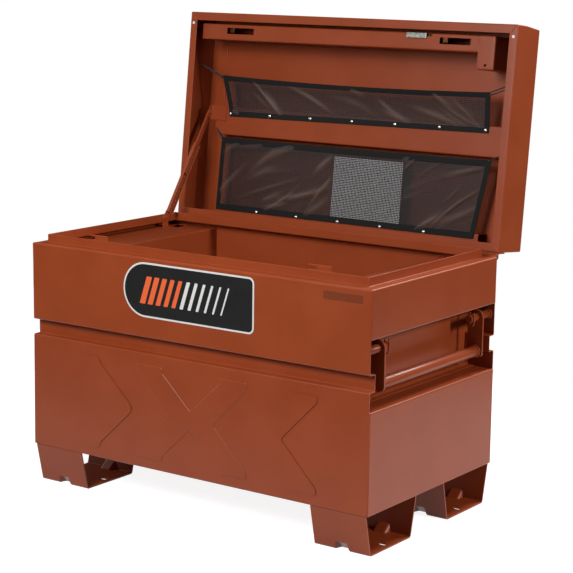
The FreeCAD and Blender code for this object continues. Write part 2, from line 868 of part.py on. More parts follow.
leaf = block(
    (f"-{LID_HALF}", LID_HALF),
    (forward("0"), forward("-leaf_gauge")),
    (RIM, f"{RIM} + leaf_height"),
)
leaf_parts = [leaf]
for index in range(1, KNUCKLES, 2):
    arm = block(
        knuckle_span(index),
        (forward("-leaf_gauge/2"), "0"),
        (RIM, "knuckle_radius"),
    )
    leaf_parts += [arm, knuckle(index, "0", "0")]
keep("hinge_lid_leaf", in_lid(cut(fuse(*leaf_parts), hinge_bore("0", "0"))))

# ---------------------------------------------------------------- telescoping stay

STAY_FOOT_Y = f"({HINGE_Y} - stay_foot_reach)"
STAY_FOOT_Z = f"({TOP} + stay_foot_rise)"


def stay_geometry():
    """Angle and length of the stay from its lower pivot to its eye on the open lid."""
    hinge_y = SIZES["depth"] / 2 + SIZES["knuckle_radius"]
    hinge_z = SIZES["foot_height"] + SIZES["tub_height"] - SIZES["hinge_drop"]
    eye_y = -(SIZES["knuckle_radius"] + SIZES["lid_inset"] + SIZES["stay_eye_start"])
    eye_z = SIZES["hinge_drop"] + SIZES["rim_gap"] + SIZES["stay_eye_depth"]
    turn = math.radians(SIZES["open_angle"])
    open_y = hinge_y + eye_y * math.cos(turn) + eye_z * math.sin(turn)
    open_z = hinge_z - eye_y * math.sin(turn) + eye_z * math.cos(turn)
    foot_y = hinge_y - SIZES["stay_foot_reach"]
    foot_z = SIZES["foot_height"] + SIZES["tub_height"] + SIZES["stay_foot_rise"]
    shut_length = math.hypot(hinge_y + eye_y - foot_y, hinge_z + eye_z - foot_z)
    shut_angle = math.degrees(math.atan2(hinge_z + eye_z - foot_z, hinge_y + eye_y - foot_y))
    open_length = math.hypot(open_y - foot_y, open_z - foot_z)
    open_angle = math.degrees(math.atan2(open_z - foot_z, open_y - foot_y))
    return open_length, open_angle, shut_length, shut_angle


open_length, stay_angle, shut_length, shut_angle = stay_geometry()
print(f"stay open {open_length:.3f} mm at {stay_angle:.4f} deg, shut {shut_length:.3f} mm at {shut_angle:.4f} deg")


def on_stay(thing):
    """Seat a piece drawn along +Y from the lower pivot on the open stay."""
    place_x_turned(thing, (STAY_FOOT_Y, STAY_FOOT_Z), f"{stay_angle:.9f}")
    return thing


web_x = (f"-{STAY_SIDE}", f"-{STAY_SIDE} + stay_gauge")
flange_x = (f"-{STAY_SIDE}", f"-{STAY_SIDE} + stay_flange")
outer_y = ("-stay_end", "stay_outer_length")
web = block(web_x, outer_y, ("-stay_width/2", "stay_width/2"))
flanges = [
    block(flange_x, ("stay_end", "stay_outer_length"), ("stay_width/2 - stay_gauge", "stay_width/2")),
    block(flange_x, ("stay_end", "stay_outer_length"), ("-stay_width/2", "-stay_width/2 + stay_gauge")),
]
pivot_hole = rod(
    "x",
    (f"-{STAY_SIDE} - stay_gauge", "0", "0"),
    "stay_rivet_radius + pivot_clearance",
    "3*stay_gauge",
)
keep("stay_outer_channel", on_stay(cut(fuse(web, *flanges), pivot_hole)))

BAR_SIDE = f"(-{STAY_SIDE} + stay_gauge + stay_play)"
bar_x = (BAR_SIDE, f"{BAR_SIDE} + stay_bar_gauge")
inner_bar = block(
    bar_x,
    (f"{open_length:.9f} - stay_inner_length", f"{open_length:.9f} + stay_bar_width/2"),
    ("-stay_bar_width/2", "stay_bar_width/2"),
)
inner_head = rod(
    "x",
    (bar_x[1], f"{open_length:.9f}", "0"),
    "stay_rivet_radius",
    "stay_flange - stay_gauge - stay_play - stay_bar_gauge",
)
keep("stay_inner_bar", on_stay(fuse(inner_bar, inner_head)))

# lower bracket: a plate between the end lip and the stay, standing on the housing's roof
bracket_x = ("-width/2 + ledge_width + lip_gauge", f"-{STAY_SIDE} - stay_play")
bracket = fuse(
    block(
        bracket_x,
        (f"{STAY_FOOT_Y} - stay_width/2", f"{STAY_FOOT_Y} + stay_width/2"),
        (ROOF, STAY_FOOT_Z),
    ),
    rod("x", (bracket_x[0], STAY_FOOT_Y, STAY_FOOT_Z), "stay_width/2", f"({bracket_x[1]})-({bracket_x[0]})"),
)
foot_rivet = rod(
    "x",
    (bracket_x[1], STAY_FOOT_Y, STAY_FOOT_Z),
    "stay_rivet_radius",
    "stay_gauge + 2*stay_play",
)
rivet_head = rod(
    "x",
    (BAR_SIDE, STAY_FOOT_Y, STAY_FOOT_Z),
    "stay_head_radius",
    "stay_gauge",
)
keep("stay_lower_bracket", bracket)
keep("stay_lower_rivet", fuse(foot_rivet, rivet_head))

# upper bracket: an ear beside the stay's eye, folded onto the middle channel's face
EAR_SIDE = f"(-{STAY_SIDE} + stay_flange + stay_play)"
ear_x = (EAR_SIDE, f"{EAR_SIDE} + stay_gauge")
ear = lid_block(
    ear_x,
    "stay_eye_start - ear_reach",
    "stay_eye_start + ear_reach",
    "stay_eye_depth - stay_width/2",
    "stay_eye_depth + ear_reach",
)
ear_foot = lid_block(
    (ear_x[0], f"-{NET_HALF} - gauge"),
    "stay_eye_start - ear_reach",
    "stay_eye_start + ear_reach",
    "channel_face - gauge",
    "channel_face",
)
ear_rivet = rod(
    "x",
    (ear_x[1], forward("stay_eye_start"), into_lid("stay_eye_depth - gauge/2")),
    "stay_head_radius",
    "stay_gauge",
)
keep("stay_upper_bracket", in_lid(fuse(ear, ear_foot, ear_rivet)))

# ---------------------------------------------------------------- end handles

for name, side in (("left", -1), ("right", 1)):
    pivot_x = f"({side}*(width/2 - handle_inset))"
    pivot_z = f"({BASE} + handle_height)"
    grip_z = f"({pivot_z} - handle_drop)"
    pins = []
    cotters = []
    arms = []
    for end in (-1, 1):
        pin_y = mirrored(end, f"{INSIDE_Y} - pivot_length", INSIDE_Y)
        pin = rod("y", (pivot_x, pin_y[0], pivot_z), "pivot_radius", "pivot_length")
        cotter_y = f"{end}*({INSIDE_Y} - pivot_length + cotter_edge)"
        cotter_from = (pivot_x, cotter_y, f"{pivot_z} - cotter_length/2")
        pins.append(cut(pin, rod("z", cotter_from, "cotter_radius", "cotter_length")))
        cotters.append(rod("z", cotter_from, "cotter_radius", "cotter_length"))
        arm_y = mirrored(end, "handle_spread", "handle_spread + arm_gauge")
        strap = block(
            (f"{pivot_x} - arm_width/2", f"{pivot_x} + arm_width/2"),
            arm_y,
            (f"{grip_z} - grip_radius", pivot_z),
        )
        crown = rod("y", (pivot_x, arm_y[0], pivot_z), "arm_width/2", "arm_gauge")
        bore = rod(
            "y",
            (pivot_x, f"{arm_y[0]} - 1", pivot_z),
            "pivot_radius + pivot_clearance",
            "arm_gauge + 2",
        )
        arms.append(cut(fuse(strap, crown), bore))
    grip = rod("y", (pivot_x, "-handle_spread", grip_z), "grip_radius", "2*handle_spread")
    keep(f"{name}_handle_pins", group(*pins))
    keep(f"{name}_handle_cotters", group(*cotters))
    keep(f"{name}_handle_arms", group(*arms))
    keep(f"{name}_handle_grip", grip)

# ---------------------------------------------------------------- nets, card, bumpers and plaque

NET_TOP = "(channel_face - rivet_seat)"
NET_FRONT = "(channel_face - rivet_seat - net_gauge)"

upper_net = folded(
    "upper_net",
    "YZ_Plane",
    [
        (forward("upper_net_start"), into_lid(NET_TOP)),
        (forward("upper_net_start"), into_lid(NET_FRONT)),
        (forward(f"{channel_end}"), into_lid(NET_FRONT)),
        (forward("upper_net_end"), into_lid(f"{NET_FRONT} - upper_net_lift")),
        (forward("upper_net_end"), into_lid(f"{NET_TOP} - upper_net_lift")),
        (forward(f"{channel_end}"), into_lid(NET_TOP)),
    ],
    f"2*{NET_HALF}",
)
keep("upper_net", in_lid(upper_net))

lower_net = lid_block(
    (f"-{NET_HALF}", NET_HALF),
    "lower_net_start",
    "lower_net_end",
    NET_FRONT,
    NET_TOP,
)
keep("lower_net", in_lid(group(lower_net)))

RIVET_BACK = f"({NET_FRONT} - rivet_seat)"
rivet_pitch = f"2*({NET_HALF} - 2*rivet_radius)/(upper_rivets - 1)"
for name, line, shift in (
    ("upper", "upper_net_start + 2*rivet_radius", "0"),
    ("lower", "lower_net_start + rivet_radius", "lower_rivet_shift"),
):
    heads = []
    for index in range(int(SIZES[f"{name}_rivets"])):
        across = f"({rivet_pitch}*({index} - ({name}_rivets - 1)/2) - {shift})"
        start = (across, forward(line), into_lid(f"{RIVET_BACK} - rivet_height"))
        heads.append(rod("z", start, "rivet_radius", "rivet_height"))
    keep(f"{name}_net_rivets", in_lid(group(*heads)))


def net_cords():
    """Short elastic cords: from the upper net's corners to the lid's cheeks, and from
    the lower net's corners to the ends of the middle channel."""
    radius = SIZES["net_cord_radius"]
    rim = SIZES["hinge_drop"] + SIZES["rim_gap"]
    back = SIZES["knuckle_radius"] + SIZES["lid_inset"]
    cheek = SIZES["width"] / 2 - SIZES["lid_inset"] - SIZES["gauge"]
    net_half = cheek - SIZES["net_margin"]
    net_depth = SIZES["channel_face"] - 2 * SIZES["rivet_seat"] - radius
    upper_depth = net_depth - SIZES["upper_net_lift"]
    cords = []
    for side, net_end, depth_behind_rim, far in (
        (-1, SIZES["upper_net_end"], upper_depth, cheek),
        (1, SIZES["upper_net_end"], upper_depth, cheek),
        (-1, SIZES["lower_net_end"], net_depth, cheek - SIZES["channel_left_gap"]),
        (1, SIZES["lower_net_end"], net_depth, cheek - SIZES["channel_right_gap"]),
    ):
        run = FreeCAD.Vector(side * (far - net_half), -SIZES["net_cord_rise"], 0)
        along = FreeCAD.Vector(run).normalize()
        slant = radius * SIZES["net_cord_rise"] / run.Length
        seat = SIZES["rivet_seat"] + slant
        start = FreeCAD.Vector(side * (net_half + seat), -(back + net_end - radius), rim + depth_behind_rim)
        length = run.Length * (1 - 2 * seat / (far - net_half))
        cords.append(Part.makeCylinder(radius, length, start, along))
    return Part.makeCompound(cords)


cords = document.addObject("Part::Feature", "net_cords")
cords.Shape = net_cords()
keep("net_cords", in_lid(cords))

# the card stands on the lower channel inside the pocket, against the back of the net
card = lid_block(
    ("card_offset - card_width/2", "card_offset + card_width/2"),
    "lower_channel_width + rivet_seat",
    "lower_channel_width + rivet_seat + card_height",
    "channel_face",
    "channel_face + card_gauge",
)
keep("blank_card", in_lid(group(card)))

bumpers = []
for side in (-1, 1):
    start = (
        f"{side}*({LID_HALF} - rim_flange/2)",
        forward(f"{LID_DEPTH} - rim_flange - 2*bumper_radius"),
        into_lid("-bumper_height"),
    )
    bumpers.append(rod("z", start, "bumper_radius", "bumper_height"))
keep("lid_bumpers", in_lid(group(*bumpers)))

plaque_y = ("-depth/2 - plaque_gauge", "-depth/2")
plaque_z = (f"{TOP} - plaque_drop - plaque_height", f"{TOP} - plaque_drop")
plaque_left = "(-plaque_offset - plaque_width/2)"
plaque_right = "(-plaque_offset + plaque_width/2)"
plaque_parts = [
    block((f"{plaque_left} + plaque_height/2", f"{plaque_right} - plaque_corner"), plaque_y, plaque_z),
    block(
        (f"{plaque_right} - 2*plaque_corner", plaque_right),
        plaque_y,
        (f"{plaque_z[0]} + plaque_corner", f"{plaque_z[1]} - plaque_corner"),
    ),
    rod(
        "y",
        (
            f"{plaque_left} + plaque_height/2",
            plaque_y[0],
            f"{TOP} - plaque_drop - plaque_height/2",
        ),
        "plaque_height/2",
        "plaque_gauge",
    ),
]
for corner_z in (f"{plaque_z[0]} + plaque_corner", f"{plaque_z[1]} - plaque_corner"):
    corner = (f"{plaque_right} - plaque_corner", plaque_y[0], corner_z)
    plaque_parts.append(rod("y", corner, "plaque_corner", "plaque_gauge"))
keep("front_plaque", fuse(*plaque_parts))

# ---------------------------------------------------------------- check and write

document.recompute()
for thing in document.Objects:
    if "Invalid" in thing.State or "Error" in thing.State:
        raise RuntimeError(f"{thing.Label} did not build: {thing.State}")
os.makedirs("parts", exist_ok=True)
for label, thing in nodes.items():
    shape = thing.Shape
    if shape.isNull() or not shape.isValid() or not shape.Solids:
        raise RuntimeError(f"{label} is not a valid solid")
    shape.exportStep(os.path.join("parts", f"{label}.step"))
print(f"{len(nodes)} nodes, {sum(len(thing.Shape.Solids) for thing in nodes.values())} solids")
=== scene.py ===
import json
import math

import bmesh
import bpy
import numpy as np
from mathutils import Matrix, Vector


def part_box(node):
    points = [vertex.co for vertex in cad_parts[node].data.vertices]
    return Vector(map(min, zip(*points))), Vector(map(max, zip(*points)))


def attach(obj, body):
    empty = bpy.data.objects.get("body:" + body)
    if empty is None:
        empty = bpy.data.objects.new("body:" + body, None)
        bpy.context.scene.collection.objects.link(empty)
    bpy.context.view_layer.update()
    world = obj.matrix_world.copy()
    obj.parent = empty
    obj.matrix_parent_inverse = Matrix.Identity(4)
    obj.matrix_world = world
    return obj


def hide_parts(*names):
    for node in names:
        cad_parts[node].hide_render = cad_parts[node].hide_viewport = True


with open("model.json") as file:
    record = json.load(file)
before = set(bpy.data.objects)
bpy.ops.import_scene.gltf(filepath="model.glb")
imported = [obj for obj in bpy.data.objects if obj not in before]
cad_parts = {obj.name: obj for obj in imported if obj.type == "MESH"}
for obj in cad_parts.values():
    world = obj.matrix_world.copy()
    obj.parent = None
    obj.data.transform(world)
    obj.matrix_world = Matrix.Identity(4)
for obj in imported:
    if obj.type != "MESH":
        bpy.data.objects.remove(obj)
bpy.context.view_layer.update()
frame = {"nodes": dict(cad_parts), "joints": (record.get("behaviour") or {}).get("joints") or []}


# ---------------------------------------------------------------- camera, floor and lamps
# A long lens looks at the box from its right front corner and slightly above.
# The box stands on a plain pale floor, under soft lamps in front, at both ends and behind.

CAMERA_PLACE = (2.3400, -3.2136, 1.2200)
AZIMUTH, ELEVATION, ROLL = (math.radians(angle) for angle in (35.247, 10.605, 0.786))
LENS = 113.39

camera = bpy.data.objects.new("camera", bpy.data.cameras.new("camera"))
camera.data.lens = LENS
backward = np.array([
    math.sin(AZIMUTH) * math.cos(ELEVATION),
    -math.cos(AZIMUTH) * math.cos(ELEVATION),
    math.sin(ELEVATION),
])
level = np.array([math.cos(AZIMUTH), math.sin(AZIMUTH), 0])
upright = np.cross(backward, level)
right = level * math.cos(ROLL) + upright * math.sin(ROLL)
up = upright * math.cos(ROLL) - level * math.sin(ROLL)
camera.matrix_world = Matrix.LocRotScale(
    CAMERA_PLACE, Matrix(np.stack([right, up, backward], 1).tolist()).to_quaternion(), None
)
bpy.context.scene.collection.objects.link(camera)
bpy.context.scene.camera = camera
bpy.context.scene.view_settings.view_transform = "Standard"


def linear(code):
    """Linear RGBA of an sRGB hex colour: each channel c becomes ((c + 0.055) / 1.055) ** 2.4."""
    channels = np.array([int(code[start:start + 2], 16) / 255 for start in (1, 3, 5)])
    dark, bright = channels / 12.92, ((channels + 0.055) / 1.055) ** 2.4
    return (*np.where(channels <= 0.04045, dark, bright).tolist(), 1.0)


def new_material(name):
    """Empty material and its node tree."""
    material = bpy.data.materials.new(name)
    material.use_nodes = True
    material.node_tree.nodes.clear()
    return material, material.node_tree


def add(tree, kind, inputs=None, stops=(), **settings):
    """Add a shader node: its settings, a colour ramp's (position, hex) stops, and its inputs.

    An input is a number or a colour, or a socket that is linked to it.
    """
    shader = tree.nodes.new("ShaderNode" + kind)
    for name, value in settings.items():
        setattr(shader, name, value)
    for number, (position, code) in enumerate(stops):
        shader.color_ramp.elements[number].position = position
        shader.color_ramp.elements[number].color = linear(code)
    for name, value in (inputs or {}).items():
        if isinstance(value, bpy.types.NodeSocket):
            tree.links.new(value, shader.inputs[name])
        else:
            shader.inputs[name].default_value = value
    return shader


FLOOR_COLOUR, FLOOR_SHEEN = "#a4a4a4", 0.88
FLOOR_SIDES = ((-1.6, 1.35), (-0.85, 1.35))

# Seamless paper: matt and even. It shows almost white, and keeps the shadow that falls on it.
paper, tree = new_material("seamless_paper")
matt = add(tree, "BsdfDiffuse", {"Color": linear(FLOOR_COLOUR), "Roughness": 0.6})
glow = add(tree, "Emission", {"Color": linear("#ffffff"), "Strength": FLOOR_SHEEN})
bright = add(tree, "AddShader", {0: matt.outputs[0], 1: glow.outputs[0]})
path = add(tree, "LightPath")
shown = path.outputs["Is Camera Ray"]
for kind in ("Is Transmission Ray", "Is Glossy Ray"):
    shown = add(tree, "Math", {0: shown, 1: path.outputs[kind]}, operation="MAXIMUM").outputs[0]
either = add(tree, "MixShader", {0: shown, 1: matt.outputs[0], 2: bright.outputs[0]})
add(tree, "OutputMaterial", {"Surface": either.outputs[0]})
floor_mesh = bpy.data.meshes.new("floor")
(west, east), (near, far) = FLOOR_SIDES
floor_mesh.from_pydata([(west, near, 0), (east, near, 0), (east, far, 0), (west, far, 0)], [], [(0, 1, 2, 3)])
floor_mesh.materials.append(paper)
floor = bpy.data.objects.new("floor", floor_mesh)
bpy.context.scene.collection.objects.link(floor)

# The room: the camera sees white all round, and the box sees it dim between the lamps.
FILL_STRENGTH = 0.05
world = bpy.data.worlds.new("studio")
bpy.context.scene.world = world
world.use_nodes = True
tree = world.node_tree
tree.nodes.clear()
path = add(tree, "LightPath")
fill = add(tree, "Background", {"Color": linear("#ffffff"), "Strength": FILL_STRENGTH})
backdrop = add(tree, "Background", {"Color": linear("#ffffff"), "Strength": 1.0})
seen = add(tree, "MixShader", {0: path.outputs["Is Camera Ray"], 1: fill.outputs[0], 2: backdrop.outputs[0]})
add(tree, "OutputWorld", {"Surface": seen.outputs[0]})


def lamp(name, place, target, size, power):
    """Square soft lamp of side `size` metres at `place`, aimed at `target`."""
    light = bpy.data.lights.new(name, "AREA")
    light.size = size
    light.energy = power
    holder = bpy.data.objects.new(name, light)
    aim = np.subtract(place, target)
    aim = aim / np.linalg.norm(aim)
    side = np.cross((0, 0, 1), aim)
    side = side / np.linalg.norm(side)
    turn = Matrix(np.stack([side, np.cross(aim, side), aim], 1).tolist()).to_quaternion()
    holder.matrix_world = Matrix.LocRotScale(place, turn, None)
    bpy.context.scene.collection.objects.link(holder)


# The two in front light the faces, the small one at the right end throws the recess's shadows, the
# one behind picks out the ledges, and a weak one lifts the left end.
lamp("key_lamp", (0, -3.1, 2.7), (0, 0, 0.5), 1.1, 38)
lamp("near_lamp", (0, -1.9, 1.5), (0, 0, 0.4), 0.9, 30)
lamp("side_lamp", (4.2, 0.2, 2.2), (0.4, 0, 0.4), 0.7, 108)
lamp("rim_lamp", (0.9, 2.3, 3.1), (0, 0, 0.5), 1.0, 140)
lamp("left_lamp", (-3.2, -0.5, 1.6), (-0.4, 0, 0.4), 1.0, 26)


# ---------------------------------------------------------------- front and back walls
# Steel sheet 2 mm thick, folded on a press brake: bottom return, lower face, lifting groove,
# upper face, ledge and lip. The ledge is cut at 45 degrees at its ends and welded to the end panels.

MM = 0.001
GAUGE = 2.0
BEND = 3.5
FOLD = BEND - GAUGE
CUT_EDGE = 0.95
RETURN_WIDTH = 25.0
LEDGE_WIDTH = 25.4
LIP_HEIGHT = 19.0
LIP_GAUGE = 3.0
GROOVE_LOW, GROOVE_HIGH, GROOVE_DEPTH = 260.0, 294.0, 19.0
CORNER_BEAD = 3.0


def corners(node):
    """Lowest and highest corner of a CAD node in millimetres."""
    return [np.array(corner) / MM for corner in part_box(node)]


HALF_WIDTH = corners("front_panel")[1][0]
HALF_DEPTH = corners("back_panel")[1][1]
BASE = corners("back_panel")[0][2]
TOP = corners("back_panel")[1][2] - LIP_HEIGHT


def surface(name, tint, rough, grain=None, relief=None, **sockets):
    """Material under noise: a grain sways its tint and roughness, and a relief its height.

    tint: a hex colour, or the two (position, hex) stops of a ramp. rough: a number, or a (low, high)
    pair. grain: (size in mm, detail). relief: (size in mm, detail, strength, depth in mm). Other
    sockets keep their names, with _ for a space.
    """
    material, tree = new_material(name)
    place = add(tree, "TexCoord").outputs["Object"]
    inputs = {socket.replace("_", " "): value for socket, value in sockets.items()}
    inputs["Base Color"], inputs["Roughness"] = tint, rough
    if isinstance(tint, str):
        inputs["Base Color"] = linear(tint)
    if grain:
        size, detail = grain
        noise = add(tree, "TexNoise", {"Vector": place, "Scale": 1000 / size, "Detail": detail})
        sway = noise.outputs["Fac"]
        if not isinstance(tint, str):
            inputs["Base Color"] = add(tree, "ValToRGB", {"Fac": sway}, tint).outputs["Color"]
        if not isinstance(rough, float):
            span = {"Value": sway, "To Min": rough[0], "To Max": rough[1]}
            inputs["Roughness"] = add(tree, "MapRange", span).outputs["Result"]
    if relief:
        size, detail, strength, depth = relief
        noise = add(tree, "TexNoise", {"Vector": place, "Scale": 1000 / size, "Detail": detail})
        bump = {"Height": noise.outputs["Fac"], "Strength": strength, "Distance": depth * MM}
        inputs["Normal"] = add(tree, "Bump", bump).outputs["Normal"]
    shader = add(tree, "BsdfPrincipled", inputs)
    add(tree, "OutputMaterial", {"Surface": shader.outputs[0]})
    return material


# Powder coat: satin, with an orange peel 1.6 mm across, and slightly paler where the film runs thin.
powder_coat = surface(
    "satin_brown_powder_coat", ((0.35, "#903e1c"), (0.65, "#964220")), (0.34, 0.40),
    grain=(90.0, 3.0), relief=(1.6, 2.0, 0.25, 0.03), Specular_IOR_Level=0.35,
)


def piece(name, points, faces):
    """New object from points in millimetres, its doubles merged and its faces turned outwards."""
    mesh = bpy.data.meshes.new(name)
    mesh.from_pydata((np.reshape(points, (-1, 3)) * MM).tolist(), [], faces)
    work = bmesh.new()
    work.from_mesh(mesh)
    bmesh.ops.remove_doubles(work, verts=work.verts, dist=0.002 * MM)
    bmesh.ops.recalc_face_normals(work, faces=work.faces)
    work.to_mesh(mesh)
    work.free()
    thing = bpy.data.objects.new(name, mesh)
    bpy.context.scene.collection.objects.link(thing)
    return thing


def sides(corner_list):
    """Corners as complex numbers, their radii, and the unit directions of each one's two sides."""
    corner_list = np.array(corner_list, float)
    point = corner_list[:, 0] + 1j * corner_list[:, 1]
    leave = np.roll(point, -1) - point
    leave = leave / abs(leave)
    return point, corner_list[:, 2], np.roll(leave, 1), leave


def rounded(corner_list, steps=5):
    """Closed outline of corners (u, v, radius), each one an arc tangent to its two sides.

    It starts radius * tan(turn / 2) before the corner and turns about a centre square to that side.
    """
    point, radius, arrive, leave = sides(corner_list)
    turn = np.angle(leave / arrive)
    start = point - arrive * radius * np.tan(abs(turn) / 2)
    centre = start + 1j * arrive * np.sign(turn) * radius
    swing = np.exp(1j * turn[:, None] * np.linspace(0, 1, steps))
    arc = (centre[:, None] + (start - centre)[:, None] * swing).ravel()
    return np.stack([arc.real, arc.imag], 1)


def rectangle(u, v, radius, steps=5):
    """Outline of a rectangle between (low, high) pairs, its corners rounded.

    The radius is one number, or four from the lower left corner round.
    """
    corner_places = ((u[0], v[0]), (u[1], v[0]), (u[1], v[1]), (u[0], v[1]))
    return rounded([(*place, r) for place, r in zip(corner_places, np.broadcast_to(radius, 4))], steps)


def folded(path, gauge=GAUGE, bend=BEND, cut=CUT_EDGE):
    """Section of a folded sheet: its outer line, and the same line moved to its left by the gauge.

    A square corner moves by the normals of both its sides. A bend has the radius `bend` outside and
    that less the gauge inside, and `cut` rounds the two ends. The gauge may differ from side to side.
    """
    line = np.array(path) @ (1, 1j)
    run = np.diff(line)
    shift = 1j * run / abs(run) * gauge
    moved = line + np.append(shift, 0) + np.append(0, shift)
    left = np.angle(run[1:] / run[:-1]) > 0
    tight = bend - np.min(gauge)
    first, last = np.broadcast_to(cut, 2)
    radius = [
        first, *np.where(left, bend, tight), last, last, *np.where(left, tight, bend)[::-1], first
    ]
    line = np.concatenate([line, moved[::-1]])
    return rounded(np.stack([line.real, line.imag, radius], 1))


def loft(name, rings, capped=True):
    """Surface through rings of equal count: each point joins the next in its ring and in the next ring."""
    rings = np.asarray(rings, float)
    rows, columns = rings.shape[:2]
    index = np.arange(rows * columns).reshape(rows, columns)
    low, high = index[:-1], index[1:]
    faces = np.stack([low, np.roll(low, -1, 1), np.roll(high, -1, 1), high], -1).reshape(-1, 4).tolist()
    if capped:
        faces += [index[0, ::-1].tolist(), index[-1].tolist()]
    return piece(name, rings, faces)


def straight(x, y, z):
    """Place that leaves a bar where it is drawn, along X."""
    return x, y, z


def bar(name, outline, stations, place=straight):
    """Closed bar: the outline (u, v) at each station along it, each point put by place(along, u, v)."""
    u, v = outline.T
    return loft(name, [np.stack(place(np.broadcast_to(along, u.shape), u, v), -1) for along in stations])


def join(thing, *others):
    """Move the other pieces' meshes into the first."""
    work = bmesh.new()
    for part in (thing, *others):
        work.from_mesh(part.data)
    work.to_mesh(thing.data)
    work.free()
    for part in others:
        bpy.data.objects.remove(part)
    return thing


def carve(thing, *tools):
    """Take each tool's volume out of a piece, apply the modifiers it has, and drop the tools."""
    for tool in tools:
        modifier = thing.modifiers.new("carve", "BOOLEAN")
        modifier.operation = "DIFFERENCE"
        modifier.solver = "EXACT"
        modifier.object = tool
    graph = bpy.context.evaluated_depsgraph_get()
    thing.data = bpy.data.meshes.new_from_object(thing.evaluated_get(graph))
    thing.modifiers.clear()
    for tool in tools:
        bpy.data.objects.remove(tool)
    return thing


def finish(thing, material, body, slot, *nodes, edge=0.6, name=None):
    """Coat a piece, round its cut edges by `edge` mm, and mount it on its body in place of its nodes."""
    thing.name = name or thing.name
    thing.data.materials.clear()
    thing.data.materials.append(material)
    thing.data.shade_smooth()
    if edge:
        bevel = thing.modifiers.new("edge", "BEVEL")
        bevel.width = edge * MM
        bevel.segments = 2
        bevel.limit_method = "ANGLE"
        bevel.angle_limit = math.radians(40)
    thing.modifiers.new("shading", "WEIGHTED_NORMAL").keep_sharp = True
    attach(thing, body)
    if nodes:
        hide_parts(*nodes)
    return thing


def coat(thing, body, *nodes, edge=0.6, name=None):
    """Finish a powder-coated piece."""
    return finish(thing, powder_coat, body, "powder_coat", *nodes, edge=edge, name=name)


def weld(start, end, radius, ripple=3.0):
    """Run of weld bead: a tube whose radius swells by an eighth every `ripple` mm and closes at both ends."""
    start, end = np.array(start, float), np.array(end, float)
    length = np.linalg.norm(end - start)
    along = (end - start) / length
    side = np.cross(along, (0.3, 0.5, 0.8))
    side /= np.linalg.norm(side)
    other = np.cross(along, side)
    distance = np.linspace(0, length, max(5, int(length / ripple * 4)))[:, None, None]
    taper = np.sqrt(np.clip(1 - (1 - np.minimum(distance, length - distance) / radius).clip(0) ** 2, 0.01, 1))
    swell = radius * taper * (1 + np.sin(2 * np.pi * distance / ripple) / 8)
    angle = np.linspace(0, 2 * np.pi, 10, endpoint=False)[None, :, None]
    return loft("weld", start + along * distance + swell * (side * np.cos(angle) + other * np.sin(angle)))


def mitred(reach, inset, height):
    """How far a sheet runs: cut back by its inset on the ledge and the bottom return, square between."""
    bent = (height > TOP - BEND) | (height < BASE + BEND)
    return np.where(bent, reach - inset, reach - GAUGE)


wall_outline = folded([
    (HALF_DEPTH - RETURN_WIDTH, BASE),
    (HALF_DEPTH, BASE),
    (HALF_DEPTH, BASE + GROOVE_LOW),
    (HALF_DEPTH - GROOVE_DEPTH, BASE + GROOVE_LOW),
    (HALF_DEPTH - GROOVE_DEPTH, BASE + GROOVE_HIGH),
    (HALF_DEPTH, BASE + GROOVE_HIGH),
    (HALF_DEPTH, TOP),
    (HALF_DEPTH - LEDGE_WIDTH, TOP),
    (HALF_DEPTH - LEDGE_WIDTH, TOP + LIP_HEIGHT),
], [*[GAUGE] * 7, LIP_GAUGE])

RECESS_LOW, RECESS_HIGH = 218.0, 366.0


def wall(name, side):
    """Front (side -1) or back (side 1) wall with its four ground corner welds and two lip welds."""
    inset, height = HALF_DEPTH - wall_outline[:, 0], wall_outline[:, 1]
    reach = mitred(HALF_WIDTH, inset, height)
    made = bar(name, wall_outline, [-reach, reach], lambda x, y, z: (x, side * y, z))
    quarter = np.linspace(0, np.pi / 2, 6)
    seam = np.stack([
        HALF_WIDTH - CORNER_BEAD * (1 - np.sin(quarter)), HALF_DEPTH - CORNER_BEAD * (1 - np.cos(quarter))
    ], 1)
    seam = np.vstack([seam, (HALF_WIDTH - CORNER_BEAD, HALF_DEPTH - CORNER_BEAD)])
    welds = []
    for end in (-1, 1):
        for low, high in ((BASE + FOLD, BASE + RECESS_LOW - FOLD), (BASE + RECESS_HIGH + FOLD, TOP - FOLD)):
            welds.append(bar("seam", seam, [low, high], lambda z, x, y: (end * x, side * y, z)))
        lip_corner = (end * (HALF_WIDTH - LEDGE_WIDTH - 0.6), side * (HALF_DEPTH - LEDGE_WIDTH - 0.6))
        outer_corner = (end * (HALF_WIDTH - 1.5), side * (HALF_DEPTH - 1.2))
        welds.append(weld((*lip_corner, TOP), (*lip_corner, TOP + LIP_HEIGHT - 0.4), 1.5))
        welds.append(weld((*lip_corner, TOP - 0.7), (*outer_corner, TOP - 0.9), 1.3, 5.0))
    return join(made, *welds)


# The lower front face carries two outer arrows and an inner pair that cross, pressed 1.6 mm proud.
CHEVRON_ARM, CHEVRON_REACH, CHEVRON_NOSE = 71.0, 91.0, 14.0
CHEVRON_LOW, CHEVRON_HIGH, CHEVRON_SIDE = 24.0, 233.0, 12.0
CHEVRON_RISE = 1.6
INNER_CHEVRON, OUTER_CHEVRON = 79.0, 258.0


def grown(corner_list, distance):
    """Outline corners moved out by a distance, along the sum of two sides' normals over 1 + their product."""
    point, radius, arrive, leave = sides(corner_list)
    normal_in, normal_out = -1j * arrive, -1j * leave
    share = 1 + (normal_in * normal_out.conjugate()).real
    moved = point + distance * (normal_in + normal_out) / share
    turn = np.sign(np.angle(leave / arrive))
    return np.stack([moved.real, moved.imag, np.maximum(radius + turn * distance, 0.3)], 1)


